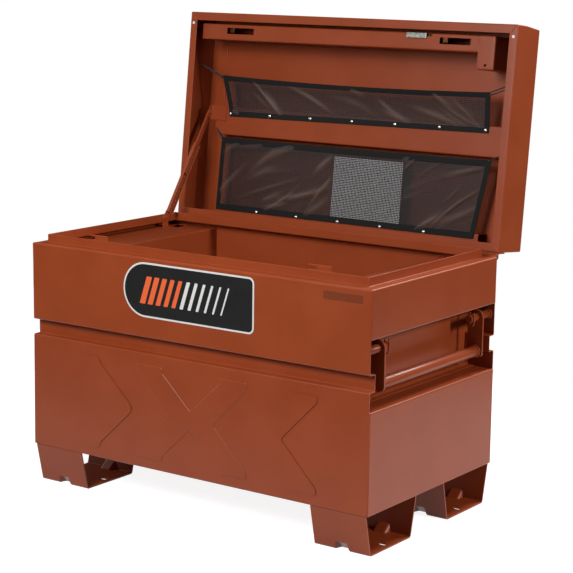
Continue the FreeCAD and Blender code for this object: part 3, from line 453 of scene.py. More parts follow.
def pressed(outline):
    """Pressed arrow: its outline at five levels, each a little smaller, which make a rounded shoulder."""
    levels = [(2.1, -0.4), (1.6, 0.25), (0.6, 1.25), (0.0, CHEVRON_RISE - 0.06), (-0.8, CHEVRON_RISE)]
    rings = []
    for distance, rise in levels:
        x, z = rounded(grown(outline, distance)).T
        rings.append(np.stack([x, np.full(x.shape, -HALF_DEPTH - rise), z], -1))
    return loft("chevron", rings)


chevron_low, chevron_high = BASE + CHEVRON_LOW, BASE + CHEVRON_HIGH
chevron_middle = (chevron_low + chevron_high) / 2


def arm_ends(end, side):
    """Corners of one arrow from the outer edge of its upper arm, round the arm's end, to its inner nose."""
    far = end + CHEVRON_ARM
    return [
        (side * end, chevron_high - CHEVRON_SIDE, 8), (side * end, chevron_high, 5),
        (side * far, chevron_high, 5), (side * far, chevron_high - CHEVRON_SIDE, 8),
        (side * (far - CHEVRON_REACH), chevron_middle, 8),
    ]


def flipped(corner_list):
    """The same corners below the arrows' middle line, in reverse order."""
    return [(x, 2 * chevron_middle - z, radius) for x, z, radius in corner_list[::-1]]


def outer_arrow(side):
    """Arrow on its own, with a short flat nose."""
    arm = arm_ends(OUTER_CHEVRON, side)
    nose_x = side * (OUTER_CHEVRON - CHEVRON_REACH)
    nose = [(nose_x, chevron_middle - CHEVRON_NOSE / 2, 8), (nose_x, chevron_middle + CHEVRON_NOSE / 2, 8)]
    outline = [*nose, *arm, *flipped(arm[:-1])]
    return outline if side < 0 else outline[::-1]


# Where the inner arrows cross, their outer edges meet on the box's middle line.
slope = (chevron_high - CHEVRON_SIDE - chevron_middle - CHEVRON_NOSE / 2) / CHEVRON_REACH
crossing = chevron_high - CHEVRON_SIDE - slope * INNER_CHEVRON
upper_half = arm_ends(INNER_CHEVRON, 1)
cross_outline = [(0, crossing, 6), *upper_half]
cross_outline += flipped([(0, crossing, 6), *upper_half[:-1]])
cross_outline += [(-x, z, radius) for x, z, radius in cross_outline[1:-1][::-1]]

front = wall("front_wall", -1)
arrows = [pressed(outline[::-1]) for outline in (outer_arrow(-1), outer_arrow(1), cross_outline)]
coat(join(front, *arrows), "cabinet", "front_panel")
coat(wall("back_wall", 1), "cabinet", "back_panel")


# ---------------------------------------------------------------- end panels and handle recesses
# Each end is two folded sheets welded between the walls: an apron with its ledge and lip above the
# handle recess, and a plain face below it. A folded pan behind them is the recess's floor and back and,
# above a step over the opening, the deeper roof that carries the stay.

APRON_HEM = 14.0
SILL_WIDTH, SILL_LAP = 50.0, 12.0
HOUSING_DEPTH, RECESS_DEPTH, RECESS_STEP = 137.0, 66.0, 6.0
ROOF = TOP - 12.0
STAY_LINE = corners("stay_outer_channel")[0][0]

upper_end = folded([
    (HALF_WIDTH - APRON_HEM, BASE + RECESS_HIGH),
    (HALF_WIDTH, BASE + RECESS_HIGH),
    (HALF_WIDTH, TOP),
    (HALF_WIDTH - LEDGE_WIDTH, TOP),
    (HALF_WIDTH - LEDGE_WIDTH, TOP + LIP_HEIGHT),
], [*[GAUGE] * 3, LIP_GAUGE])
lower_end = folded([
    (HALF_WIDTH - RETURN_WIDTH, BASE),
    (HALF_WIDTH, BASE),
    (HALF_WIDTH, BASE + RECESS_LOW),
    (HALF_WIDTH - SILL_WIDTH - SILL_LAP, BASE + RECESS_LOW),
])
# Its outline starts at the sill, where the end's cap is flat.
lower_end = np.roll(lower_end, len(lower_end) // 2, axis=0)
step = BASE + RECESS_HIGH + RECESS_STEP
pan_outline = folded([
    (HALF_WIDTH - GAUGE, ROOF),
    (HALF_WIDTH - HOUSING_DEPTH, ROOF),
    (HALF_WIDTH - HOUSING_DEPTH, step),
    (HALF_WIDTH - RECESS_DEPTH, step),
    (HALF_WIDTH - RECESS_DEPTH, BASE + RECESS_LOW),
    (HALF_WIDTH - SILL_WIDTH, BASE + RECESS_LOW),
])


def block(name, x, y, z):
    """Rectangular block between (low, high) pairs, used to cut openings."""
    return bar(name, np.array([(y[0], z[0]), (y[1], z[0]), (y[1], z[1]), (y[0], z[1])]), x)


ROOF_SLOT_X = (STAY_LINE - GAUGE, STAY_LINE - GAUGE + 30.0)
ROOF_SLOT_Y = (196.0, 238.0)

for name, side in (("left", -1), ("right", 1)):
    def at_end(y, x, z):
        return side * x, y, z

    for level, outline in (("upper", upper_end), ("lower", lower_end)):
        reach = mitred(HALF_DEPTH, HALF_WIDTH - outline[:, 0], outline[:, 1])
        coat(bar(f"{name}_{level}_end", outline, [-reach, reach], at_end), "cabinet", f"{name}_end_{level}")

    pan = bar(f"{name}_handle_pan", pan_outline, [-HALF_DEPTH + GAUGE, HALF_DEPTH - GAUGE], at_end)
    openings = [
        block(
            "bulge",
            (-2 * HALF_WIDTH, 2 * HALF_WIDTH),
            sorted((end * (HALF_DEPTH - GROOVE_DEPTH - GAUGE), end * 2 * HALF_DEPTH)),
            (BASE + GROOVE_LOW - GAUGE, BASE + GROOVE_HIGH + GAUGE),
        )
        for end in (-1, 1)
    ]
    if side < 0:
        openings.append(block("slot", ROOF_SLOT_X, ROOF_SLOT_Y, (ROOF - 3 * GAUGE, ROOF + 3 * GAUGE)))
    coat(carve(pan, *openings), "cabinet", f"{name}_housing", edge=0.4)

# The floor sheet is flat and lies on the walls' bottom returns.
frame["nodes"]["floor_panel"].data.materials[0] = powder_coat


# ---------------------------------------------------------------- feet
# Each foot is a 3 mm channel with leaning walls, welded under the tub. A gusset is pressed into the
# middle of each bottom bend to stiffen it, and a slot near each end of the sole takes an anchor bolt.

FOOT_GAUGE, FOOT_BEND = 3.0, 6.5
FOOT_LENGTH, FOOT_TOP, FOOT_LEAN = 137.0, 198.0, 20.0
GUSSET_HALF, GUSSET_SLOPE, GUSSET_RISE = 19.0, 7.0, 19.0
SLOT_LENGTH, SLOT_WIDTH, SLOT_EDGE = 20.0, 11.0, 20.0
FOOT_STEP = 2.5


def sheet_grid(name, rows):
    """Open sheet through rows of points: neighbours along and across are joined, and nothing wraps."""
    rows = np.asarray(rows, float)
    count, width = rows.shape[:2]
    index = np.arange(count * width).reshape(count, width)
    a, b, c, d = index[:-1, :-1], index[:-1, 1:], index[1:, 1:], index[1:, :-1]
    return piece(name, rows, np.stack([a, b, c, d], -1).reshape(-1, 4).tolist())


def stepped(line, step):
    """Open line with points added so that no run is longer than the step, by arc length."""
    length = np.append(0, np.cumsum(np.hypot(*np.diff(line, axis=0).T)))
    wanted = np.union1d(length, np.arange(0, length[-1], step))
    return np.stack([np.interp(wanted, length, column) for column in line.T], 1)


def foot(name, middle_x, middle_y):
    """Bent channel whose bottom bends are pushed back to a slanting plane over the gusset's width.

    A point outside the plane goes back along its normal by its distance to it; the plane's depth
    from the corner is full in the middle of the foot and falls to nothing over the gusset's slope.
    """
    half_top, half_sole = FOOT_TOP / 2, FOOT_TOP / 2 - FOOT_LEAN
    section = rounded([
        (-half_top, BASE, 0), (-half_sole, 0, FOOT_BEND), (half_sole, 0, FOOT_BEND), (half_top, BASE, 0)
    ], steps=7)[3:-3]
    section = stepped(section, FOOT_STEP)
    near = np.linspace(-GUSSET_HALF - 2, GUSSET_HALF + 2, 29)
    x = np.concatenate([[-FOOT_LENGTH / 2, -FOOT_LENGTH / 4], near, [FOOT_LENGTH / 4, FOOT_LENGTH / 2]])
    x = x[:, None]
    y = np.broadcast_to(section[:, 0], (len(x), len(section))).copy()
    z = np.broadcast_to(section[:, 1], y.shape).copy()
    slant = np.array([GUSSET_RISE, -GUSSET_RISE * (1 + FOOT_LEAN / BASE)])
    slant /= np.hypot(*slant)
    full = GUSSET_RISE * slant[0]
    share = np.clip((GUSSET_HALF - abs(x)) / GUSSET_SLOPE, 0, 1)
    share = share * share * (3 - 2 * share)
    for end in (-1, 1):
        beyond = (end * y - half_sole) * slant[0] + z * slant[1] + full * share
        beyond = np.maximum(beyond, 0) * (share > 0)
        y -= end * beyond * slant[0]
        z -= beyond * slant[1]
    channel = sheet_grid(name, np.stack([middle_x + x + 0 * y, middle_y + y, z], -1))
    wall_gauge = channel.modifiers.new("gauge", "SOLIDIFY")
    wall_gauge.thickness = FOOT_GAUGE * MM
    wall_gauge.offset = -1 if channel.data.polygons[0].normal.y < 0 else 1
    slots = []
    for end in (-1, 1):
        centre = middle_x + end * (FOOT_LENGTH / 2 - SLOT_EDGE)
        half_l, half_w = SLOT_LENGTH / 2, SLOT_WIDTH / 2
        ends, sides = (centre - half_l, centre + half_l), (middle_y - half_w, middle_y + half_w)
        outline = rectangle(ends, sides, half_w - 0.1, 8)
        slots.append(bar("slot", outline, [-FOOT_GAUGE, 2 * FOOT_GAUGE], lambda z, x, y: (x, y, z)))
    return carve(channel, *slots)


for node in ("front_left_foot", "front_right_foot", "rear_left_foot", "rear_right_foot"):
    low, high = corners(node)
    made = foot(node.replace("foot", "channel_foot"), (low[0] + high[0]) / 2, (low[1] + high[1]) / 2)
    coat(made, "cabinet", node, edge=0.5)


# ---------------------------------------------------------------- strikers
# Two folded hooks of 3 mm steel are welded behind the front lip; the latch fingers slide into the
# notch in each one's tongue when the lid is shut.

STRIKER_GAUGE, STRIKER_WEB, STRIKER_RISE = 3.0, 8.0, 27.0
NOTCH_DEPTH, NOTCH_LOW, NOTCH_HEIGHT = 20.0, 16.0, 8.0

for name in ("left", "right"):
    low, high = corners(f"{name}_striker")
    lip, tongue = low[1], high[1]
    profile = folded([
        (tongue - STRIKER_GAUGE, TOP + STRIKER_RISE),
        (tongue - STRIKER_GAUGE, TOP + STRIKER_WEB),
        (lip, TOP + STRIKER_WEB),
        (lip, TOP),
    ], STRIKER_GAUGE, bend=3.8, cut=(1.2, 0.9))
    hook = bar(f"{name}_striker_hook", profile, [low[0], high[0]])
    notch = block(
        "notch",
        (low[0] - 5, low[0] + NOTCH_DEPTH),
        (tongue - 2 * STRIKER_GAUGE, tongue + STRIKER_GAUGE),
        (TOP + NOTCH_LOW, TOP + NOTCH_LOW + NOTCH_HEIGHT),
    )
    carve(hook, notch)
    runs = [weld((x, lip + 1, TOP + 1), (x + 14, lip + 1, TOP + 1), 1.8) for x in (low[0] + 3, high[0] - 17)]
    coat(join(hook, *runs), "cabinet", f"{name}_striker", edge=0.5)


# ---------------------------------------------------------------- piano hinge
# A long butt hinge: eleven barrels rolled from the edges of two leaves take turns on one steel pin.
# One leaf is welded to the back wall and the other to the lid.

KNUCKLE, LEAF_GAUGE, LEAF_HEIGHT, KNUCKLE_GAP = 6.0, 2.3, 28.0, 0.5
KNUCKLE_COUNT = 11
hinge = next(joint for joint in frame["joints"] if joint["name"] == "lid_hinge")
HINGE_Y, HINGE_Z = (value / MM for value in hinge["pos_m"][1:])
OPEN_ANGLE = math.radians(hinge["range_deg"][1])
LID_HALF = corners("hinge_pin")[1][0]
LID_INSET = HALF_WIDTH - LID_HALF
RIM_RISE = 3.5
ARM_RISE = KNUCKLE - RIM_RISE


def in_lid(x, b, d):
    """Point in the open lid: x, distance b in front of its back face, depth d behind its rim.

    The point's place beside the hinge axis, with the lid shut, is turned back about it by the open angle.
    """
    y, z = -(KNUCKLE + LID_INSET + np.asarray(b)), RIM_RISE + np.asarray(d)
    c, s = math.cos(OPEN_ANGLE), math.sin(OPEN_ANGLE)
    return x + 0 * y, HINGE_Y + y * c + z * s, HINGE_Z - y * s + z * c


def knuckles(first):
    """Start and end along X of every second barrel."""
    pitch = 2 * LID_HALF / KNUCKLE_COUNT
    starts = -LID_HALF + np.arange(first, KNUCKLE_COUNT, 2) * pitch + KNUCKLE_GAP / 2
    return [(start, start + pitch - KNUCKLE_GAP) for start in starts]


def circle(u, v, radius, sides=20):
    """Outline of a circle about (u, v)."""
    turn = np.linspace(0, 2 * np.pi, sides, endpoint=False)
    return np.stack([u + radius * np.cos(turn), v + radius * np.sin(turn)], 1)


def turned(profile, centre, place=straight, count=20):
    """Round bar: a circle about the centre for each (along, radius), put by place(along, u, v)."""
    rings = []
    for along, radius in profile:
        u, v = circle(*centre, radius, count).T
        rings.append(np.stack(place(np.full(count, along), u, v), -1))
    return loft("turned", rings)


def barrel(start, end):
    """Rolled tube about the hinge axis, its ends slightly rounded."""
    profile = ((start, KNUCKLE - 0.5), (start + 0.5, KNUCKLE), (end - 0.5, KNUCKLE), (end, KNUCKLE - 0.5))
    return turned(profile, (HINGE_Y, HINGE_Z), straight, 24)


leaf_y = (HALF_DEPTH, HALF_DEPTH + LEAF_GAUGE)
leaf_z = (HINGE_Z - KNUCKLE - LEAF_HEIGHT, HINGE_Z - KNUCKLE - KNUCKLE_GAP)
leaf_outline = rectangle(leaf_y, leaf_z, (0.6, 1, 1, 0.6))
tub_leaf = bar("tub_hinge_leaf", leaf_outline, [-LID_HALF, LID_HALF])
for span in knuckles(0):
    join(tub_leaf, block("tab", span, leaf_y, (HINGE_Z - 2 * KNUCKLE, HINGE_Z)))
join(tub_leaf, *[barrel(*span) for span in knuckles(0)])
coat(tub_leaf, "cabinet", "hinge_tub_leaf", edge=0.3)

leaf_outline = rectangle((-LEAF_GAUGE, 0), (0, LEAF_HEIGHT), (1, 0.6, 0.6, 1))
lid_leaf = bar("lid_hinge_leaf", leaf_outline, [-LID_HALF, LID_HALF], in_lid)
skirt = rounded([
    (-LID_INSET - 1.2, 0.9, 0.1), (-LID_INSET + 0.2, 0, 0.1), (-LEAF_GAUGE / 2, 0, 0.3),
    (-LEAF_GAUGE / 2, ARM_RISE, 0.3), (-LID_INSET - 1.2, ARM_RISE, 0.3),
])
join(lid_leaf, bar("skirt", skirt, [-LID_HALF, LID_HALF], in_lid))
arm_outline = rectangle((-LID_INSET - KNUCKLE, -LEAF_GAUGE / 2), (0, ARM_RISE), 0.4)
for span in knuckles(1):
    join(lid_leaf, bar("arm", arm_outline, span, in_lid))
join(lid_leaf, *[barrel(*span) for span in knuckles(1)])
coat(lid_leaf, "lid", "hinge_lid_leaf", edge=0.3)


def plating(name, dull, bright):
    """Zinc plate: a thin metal skin, mottled between a dull and a bright tone in patches of 6 mm."""
    return surface(name, ((0.35, dull), (0.7, bright)), (0.22, 0.42), grain=(6.0, 4.0), Metallic=1.0)


zinc = plating("bright_zinc_plate", "#9fa298", "#c9cbc0")
frame["nodes"]["hinge_pin"].data.materials[0] = zinc


# ---------------------------------------------------------------- lid
# One deep tray of 2 mm sheet: its top panel, four walls and an inward rim flange mitred and welded at
# the corners. The front wall leans in towards the top. A flat strip stiffens each end of the panel.

LID_DEPTH = 2 * (HALF_DEPTH - LID_INSET)
LID_HEIGHT, RIM_FLANGE = 104.0, 20.0
LEAN_START, LEAN = 45.0, 4.5
LID_CORNER = 3.0
LID_INSIDE = LID_HALF - GAUGE

lid_profile = rounded([
    (60, LID_HEIGHT, 0), (0, LID_HEIGHT, BEND), (0, LEAN_START, 40), (0, 0, BEND),
    (RIM_FLANGE, 0, CUT_EDGE), (RIM_FLANGE, GAUGE, CUT_EDGE), (GAUGE, GAUGE, FOLD),
    (GAUGE, LEAN_START, 40), (GAUGE, LID_HEIGHT - GAUGE, FOLD), (60, LID_HEIGHT - GAUGE, 0),
])
rings = []
for inset, depth in lid_profile:
    lean = LEAN * max(0.0, depth - LEAN_START) / (LID_HEIGHT - LEAN_START)
    radius = max(LID_CORNER - inset, 0.05) if inset < LID_CORNER else 0.05
    half = LID_HALF - inset
    x, b = rectangle((-half, half), (inset, LID_DEPTH - lean - inset), radius).T
    rings.append(np.stack(in_lid(x, b, depth), -1))
lid_tray = loft("lid_tray", rings)

MITRE_BEAD = 1.4
for side in (-1, 1):
    for b, direction in ((0, 1), (LID_DEPTH, -1)):
        outer = in_lid(side * (LID_HALF - 2), b + 2 * direction, 0.5)
        inner = in_lid(side * (LID_HALF - RIM_FLANGE + 1), b + (RIM_FLANGE - 1) * direction, 0.5)
        join(lid_tray, weld(outer, inner, MITRE_BEAD, 4.0))
coat(lid_tray, "lid", "lid_shell", "left_lid_end", "right_lid_end")

END_STRIP = 44.0
strip_b = (LID_DEPTH - 76.0 - LID_INSET, 35.0)
strip_d = (LID_HEIGHT - 2 * GAUGE, LID_HEIGHT - GAUGE)
strip = rectangle((LID_INSIDE - END_STRIP, LID_INSIDE), strip_d, (0.95, 0.05, 0.05, 0.05))
for name, side in (("left", -1), ("right", 1)):
    made = bar(f"{name}_lid_strip", strip, strip_b, lambda b, x, d: in_lid(side * x, b, d))
    coat(made, "lid", edge=0.4)


# ---------------------------------------------------------------- channels inside the lid
# Two folded channels are spot welded across the panel: a wide one in the middle, whose lower corners
# are cut off, and a narrow one along the hinge side. Their faces carry the nets.

CHANNEL_START, CHANNEL_WIDTH, CHANNEL_FACE = 206.0, 71.0, 60.0
CHANNEL_LEFT, CHANNEL_RIGHT = LID_INSIDE - 52.0, LID_INSIDE - 22.0
CHAMFER_RISE, CHAMFER_RUN = 15.0, 26.0
LOWER_WIDTH = 33.0
NET_HALF = LID_INSIDE - 86.0
channel_end = CHANNEL_START + CHANNEL_WIDTH
panel = LID_HEIGHT - GAUGE

channel_outline = folded([
    (CHANNEL_START, panel), (CHANNEL_START, CHANNEL_FACE), (channel_end, CHANNEL_FACE), (channel_end, panel)
])
channel_outline = stepped(np.vstack([channel_outline, channel_outline[:1]]), 3.0)[:-1]
cut_back = np.clip(CHANNEL_START + CHAMFER_RISE - channel_outline[:, 0], 0, CHAMFER_RISE)
cut_back = cut_back * CHAMFER_RUN / CHAMFER_RISE
channel_ends = [-CHANNEL_LEFT + cut_back, CHANNEL_RIGHT - cut_back]
coat(bar("middle_channel", channel_outline, channel_ends, in_lid), "lid", "lid_middle_channel", edge=0.5)

lower_outline = folded([(GAUGE, CHANNEL_FACE), (LOWER_WIDTH, CHANNEL_FACE), (LOWER_WIDTH, panel)])
lower_channel = bar("lower_channel", lower_outline, [-NET_HALF, NET_HALF], in_lid)
coat(lower_channel, "lid", "lid_lower_channel", edge=0.5)


# ---------------------------------------------------------------- lock channel and vault cover
# A folded channel behind the front rim houses the latch bar; its left end is closed by a rounded bend,
# and it has a slot for each striker. A small deep-drawn cover at its right end guards the lock.

LOCK_FRONT, LOCK_WIDTH, LOCK_FACE = 475.0, 38.0, 12.0
LOCK_LEFT, LOCK_RIGHT = LID_INSIDE - 26.0, 352.0
LOCK_END_BEND = 7.0
CATCH = 300.0
SLOT_LEAD, SLOT_TAIL = 48.0, 32.0
TONGUE_LINE = 460.8
LEVER_START, LEVER_WIDTH, LEVER_NECK = 165.0, 53.0, 33.0
LATCH_TRAVEL = 20.0
LOCK_BACK = LOCK_FRONT - LOCK_WIDTH

lock_outline = folded([
    (LOCK_BACK, panel), (LOCK_BACK, LOCK_FACE), (LOCK_FRONT, LOCK_FACE), (LOCK_FRONT, panel)
])
lock_channel = bar("lock_rail", lock_outline, [-LOCK_LEFT + LOCK_END_BEND, LOCK_RIGHT], in_lid)
neck = LEVER_START + (LEVER_WIDTH - LEVER_NECK) / 2


def through_lid(d, x, b):
    """Place for bars that run through the lid's depth."""
    return in_lid(x, b, d)


slots = [
    bar("slot", rectangle(x, b, radius), [LOCK_FACE - 3, LOCK_FACE + 3 * GAUGE], through_lid)
    for x, b, radius in (
        ((-CATCH - SLOT_LEAD, -CATCH + SLOT_TAIL), (TONGUE_LINE - 9, TONGUE_LINE + 6), 2),
        ((CATCH - SLOT_LEAD, CATCH + SLOT_TAIL), (TONGUE_LINE - 9, TONGUE_LINE + 6), 2),
        ((neck - 4, neck + LEVER_NECK + LATCH_TRAVEL + 4), (467.8, 474.2), 1),
    )
]
carve(lock_channel, *slots)
end_turn = np.linspace(0, np.pi / 2, 7)
bend_x = np.append(LOCK_END_BEND * (1 - np.sin(end_turn)), 0)[::-1]
bend_d = np.append(LOCK_END_BEND * (1 - np.cos(end_turn)), panel - LOCK_FACE)[::-1]
closed_end = sheet_grid("closed_end", [
    np.stack(in_lid(-LOCK_LEFT + bend_x, np.full(8, b), LOCK_FACE + bend_d), -1)
    for b in (LOCK_BACK + 0.6, LOCK_FRONT - 0.6)
])
skin = closed_end.modifiers.new("gauge", "SOLIDIFY")
skin.thickness = GAUGE * MM
skin.offset = -1 if closed_end.data.polygons[0].normal.x < 0 else 1
carve(closed_end)
ticks = [
    weld(in_lid(x, b, LOCK_FACE - 0.2), in_lid(x, b + 7, LOCK_FACE - 0.2), 1.3)
    for x, b in ((-397, 446), (-392, 458))
]
join(lock_channel, closed_end, *ticks)
coat(lock_channel, "lid", "lock_channel", edge=0.4)

VAULT_WIDTH, VAULT_LENGTH, VAULT_FACE = 44.0, 76.0, 10.0
VAULT_HOLE, VAULT_HOLE_EDGE = 3.0, 10.0
vault_profile = rounded([
    (15, VAULT_FACE, 0), (0, VAULT_FACE, BEND), (0, panel, 0.1), (GAUGE, panel, 0.1),
    (GAUGE, VAULT_FACE + GAUGE, FOLD), (15, VAULT_FACE + GAUGE, 0),
])
rings = []
for inset, depth in vault_profile:
    radius = max(4 - inset, 0.3)
    x, b = rectangle(
        (LOCK_RIGHT + inset, LOCK_RIGHT + VAULT_WIDTH - inset),
        (LOCK_FRONT - VAULT_LENGTH + inset, LOCK_FRONT - inset),
        radius,
    ).T
    rings.append(np.stack(in_lid(x, b, depth), -1))
vault = loft("vault_guard", rings)
hole_place = (LOCK_RIGHT + VAULT_WIDTH / 2, LOCK_FRONT - VAULT_LENGTH + VAULT_HOLE_EDGE)
hole_run = [(VAULT_FACE - 3, VAULT_HOLE), (VAULT_FACE + 3 * GAUGE, VAULT_HOLE)]
carve(vault, turned(hole_run, hole_place, through_lid))
coat(vault, "lid", "vault_cover", edge=0.4)


# ---------------------------------------------------------------- latch bar and lever
# A flat bar with bronze-coloured zinc plate slides sideways inside the lock channel. Its two fingers
# enter the strikers, and the lever that moves it stands out through a slot in the channel's face.

BAR_FRONT, BAR_BACK, BAR_LOW, BAR_HEIGHT = 472.5, 468.8, 16.0, 18.0
FINGER_WIDTH, FINGER_GAUGE, FINGER_START, FINGER_BACK = 12.0, 4.0, 454.8, 30.0


def lid_block(x, b, d, radius=0.8):
    """Block in the lid between (low, high) pairs, its long edges rounded."""
    return bar("block", rectangle(b, d, radius, 4), x, in_lid)


bar_ends = (-CATCH - SLOT_LEAD, CATCH + SLOT_TAIL - LATCH_TRAVEL)
latch = lid_block(bar_ends, (BAR_BACK, BAR_FRONT), (BAR_LOW, BAR_LOW + BAR_HEIGHT))
finger_b, finger_d = (FINGER_START, BAR_BACK + 1), (BAR_LOW, BAR_LOW + FINGER_GAUGE)
for tip in (-CATCH - FINGER_BACK, CATCH - FINGER_BACK):
    join(latch, lid_block((tip - FINGER_WIDTH, tip), finger_b, finger_d, 1.2))
bronze = plating("bronze_zinc_plate", "#5e3423", "#a8663f")
finish(latch, bronze, "latch", "zinc_plate", "latch_bar", edge=0.5, name="latch_slide_bar")

lever_x, lever_b = (LEVER_START, LEVER_START + LEVER_WIDTH), (LOCK_FRONT - 12.5, LOCK_FRONT + 0.5)
lever = lid_block(lever_x, lever_b, (8.5, 11.5), 1.2)
join(lever, lid_block((neck, neck + LEVER_NECK), (BAR_BACK, BAR_FRONT), (10, BAR_LOW)))
finish(lever, zinc, "latch", "zinc_plate", "latch_lever", edge=0.8, name="latch_thumb_lever")


# ---------------------------------------------------------------- lid stay
# A telescoping stay: a flat bar slides in a folded channel. The channel pivots on a bracket at the left
# end lip, and the bar's eye is riveted to an ear on the lid's middle channel.

STAY_FOOT_Y, STAY_FOOT_Z = HINGE_Y - 74.0, TOP + 11.1
STAY_WIDTH, STAY_FLANGE, STAY_LENGTH, STAY_END = 20.0, 9.0, 205.0, 12.0
EYE_B, EYE_D = 259.0, 60.0
BAR_WIDTH, BAR_GAUGE, STAY_PLAY, INNER_LENGTH = 13.0, 5.0, 0.5, 176.0
_, eye_y, eye_z = in_lid(0, EYE_B, EYE_D)
stay_length = math.hypot(eye_y - STAY_FOOT_Y, eye_z - STAY_FOOT_Z)
stay_turn = math.atan2(eye_z - STAY_FOOT_Z, eye_y - STAY_FOOT_Y)


def on_stay(x, along, across):
    """Point on the open stay: distance along it from its lower pivot, and across it."""
    c, s = math.cos(stay_turn), math.sin(stay_turn)
    along, across = np.asarray(along), np.asarray(across)
    return x + 0 * along, STAY_FOOT_Y + along * c - across * s, STAY_FOOT_Z + along * s + across * c


def disc(x, centre, radius, place):
    """Short rod between the two x values."""
    return turned([(x[0], radius), (x[1], radius)], centre, place)


half = STAY_WIDTH / 2
stay_outline = folded([
    (STAY_LINE + STAY_FLANGE, half), (STAY_LINE, half), (STAY_LINE, -half), (STAY_LINE + STAY_FLANGE, -half)
], bend=BEND - 0.5)
tube = bar("stay_channel", stay_outline, [STAY_END, STAY_LENGTH], lambda s, x, w: on_stay(x, s, w))
tail = rectangle((-STAY_END, STAY_END + 3), (-half, half), (half - 0.5, 0.5, 0.5, half - 0.5), 8)
join(tube, bar("tail", tail, [STAY_LINE, STAY_LINE + GAUGE], on_stay))
join(tube, disc([STAY_LINE + 7.5, STAY_LINE + 9.2], (STAY_LENGTH - 38.0, 0.0), 3.6, on_stay))
coat(tube, "stay_tube", "stay_outer_channel", edge=0.5)

bar_x = (STAY_LINE + GAUGE + STAY_PLAY, STAY_LINE + GAUGE + STAY_PLAY + BAR_GAUGE)
half_bar = BAR_WIDTH / 2
bar_run, eye_round = (stay_length - INNER_LENGTH, stay_length + half_bar), half_bar - 0.2
inner_outline = rectangle(bar_run, (-half_bar, half_bar), (2, eye_round, eye_round, 2), 8)
inner = bar("stay_bar", inner_outline, bar_x, on_stay)
join(inner, disc([bar_x[1], STAY_LINE + STAY_FLANGE], (stay_length, 0.0), 4.0, on_stay))
coat(inner, "stay_rod", "stay_inner_bar", edge=0.8)

low, high = corners("stay_lower_bracket")
plate_y = (STAY_FOOT_Y - half, STAY_FOOT_Y + half)
bracket_outline = rectangle(plate_y, (low[2], STAY_FOOT_Z + half), (0.6, 0.6, half - 0.2, half - 0.2), 8)
bracket = bar("stay_lower_plate", bracket_outline, [low[0], high[0]])
coat(bracket, "cabinet", "stay_lower_bracket", edge=0.5)

rivet = disc([high[0], STAY_LINE + GAUGE + 0.6], (0.0, 0.0), 4.0, on_stay)
join(rivet, disc([STAY_LINE + GAUGE + 0.5, STAY_LINE + GAUGE + 2.6], (0.0, 0.0), 6.0, on_stay))
coat(rivet, "cabinet", "stay_lower_rivet", edge=0.9, name="stay_lower_pivot")

EAR_LINE = STAY_LINE + STAY_FLANGE + STAY_PLAY
EAR_REACH = 18.0
ear_b = (EYE_B - EAR_REACH, EYE_B + EAR_REACH)
ear_outline = rectangle(ear_b, (EYE_D - half, EYE_D + EAR_REACH), (9, 9, 1, 1), 7)
ear = bar("stay_upper_ear", ear_outline, [EAR_LINE, EAR_LINE + GAUGE], in_lid)
foot_outline = rectangle((EAR_LINE + GAUGE / 2, -NET_HALF - GAUGE), ear_b, (0.5, 3, 3, 0.5))
join(
    ear,
    bar("ear_foot", foot_outline, [CHANNEL_FACE - GAUGE, CHANNEL_FACE], through_lid),
    disc([EAR_LINE + GAUGE, EAR_LINE + 2 * GAUGE], (EYE_B, EYE_D - GAUGE / 2), 6.0, in_lid),
    *[
        weld(in_lid(x, b, CHANNEL_FACE - GAUGE), in_lid(x + 4, b, CHANNEL_FACE - GAUGE), 1.6)
        for x in (-NET_HALF - 12, -NET_HALF - 38) for b in ear_b
    ],
)
coat(ear, "lid", "stay_upper_bracket", edge=0.5)


# ---------------------------------------------------------------- end handles
# Each handle is a pipe grip welded between two flat arms, which hang on round pins welded inside the
# recess. A wire hairpin through each pin keeps the arm from sliding off.

PIVOT_X, PIVOT_Z = HALF_WIDTH - 19.2, BASE + 341.0
GRIP_RADIUS, HANDLE_DROP, HANDLE_SPREAD = 12.5, 76.0, 198.0
ARM_WIDTH, ARM_GAUGE = 38.0, 5.0
PIN_RADIUS, PIN_LENGTH, COTTER_EDGE = 9.25, 84.0, 6.0
COTTER_WIRE, COTTER_TOP, COTTER_FOOT, COTTER_BEND = 1.5, 16.0, -10.0, 5.5
GRIP_Z = PIVOT_Z - HANDLE_DROP


def depthwise(y, x, z):
    """Place for bars that run front to back."""
    return x, y, z


def wire(name, points, radius):
    """Round wire through points: a circle square to the run between each point's neighbours."""
    points = np.asarray(points, float)
    along = np.gradient(points, axis=0)
    along /= np.linalg.norm(along, axis=1, keepdims=True)
    side = np.cross(along, (0.05, 1.0, 0.07))
    side /= np.linalg.norm(side, axis=1, keepdims=True)
    other = np.cross(along, side)
    turn = np.linspace(0, 2 * np.pi, 10, endpoint=False)[None, :, None]
    radius = np.reshape(radius, (-1, 1, 1))
    around = side[:, None] * np.cos(turn) + other[:, None] * np.sin(turn)
    return loft(name, points[:, None] + radius * around)


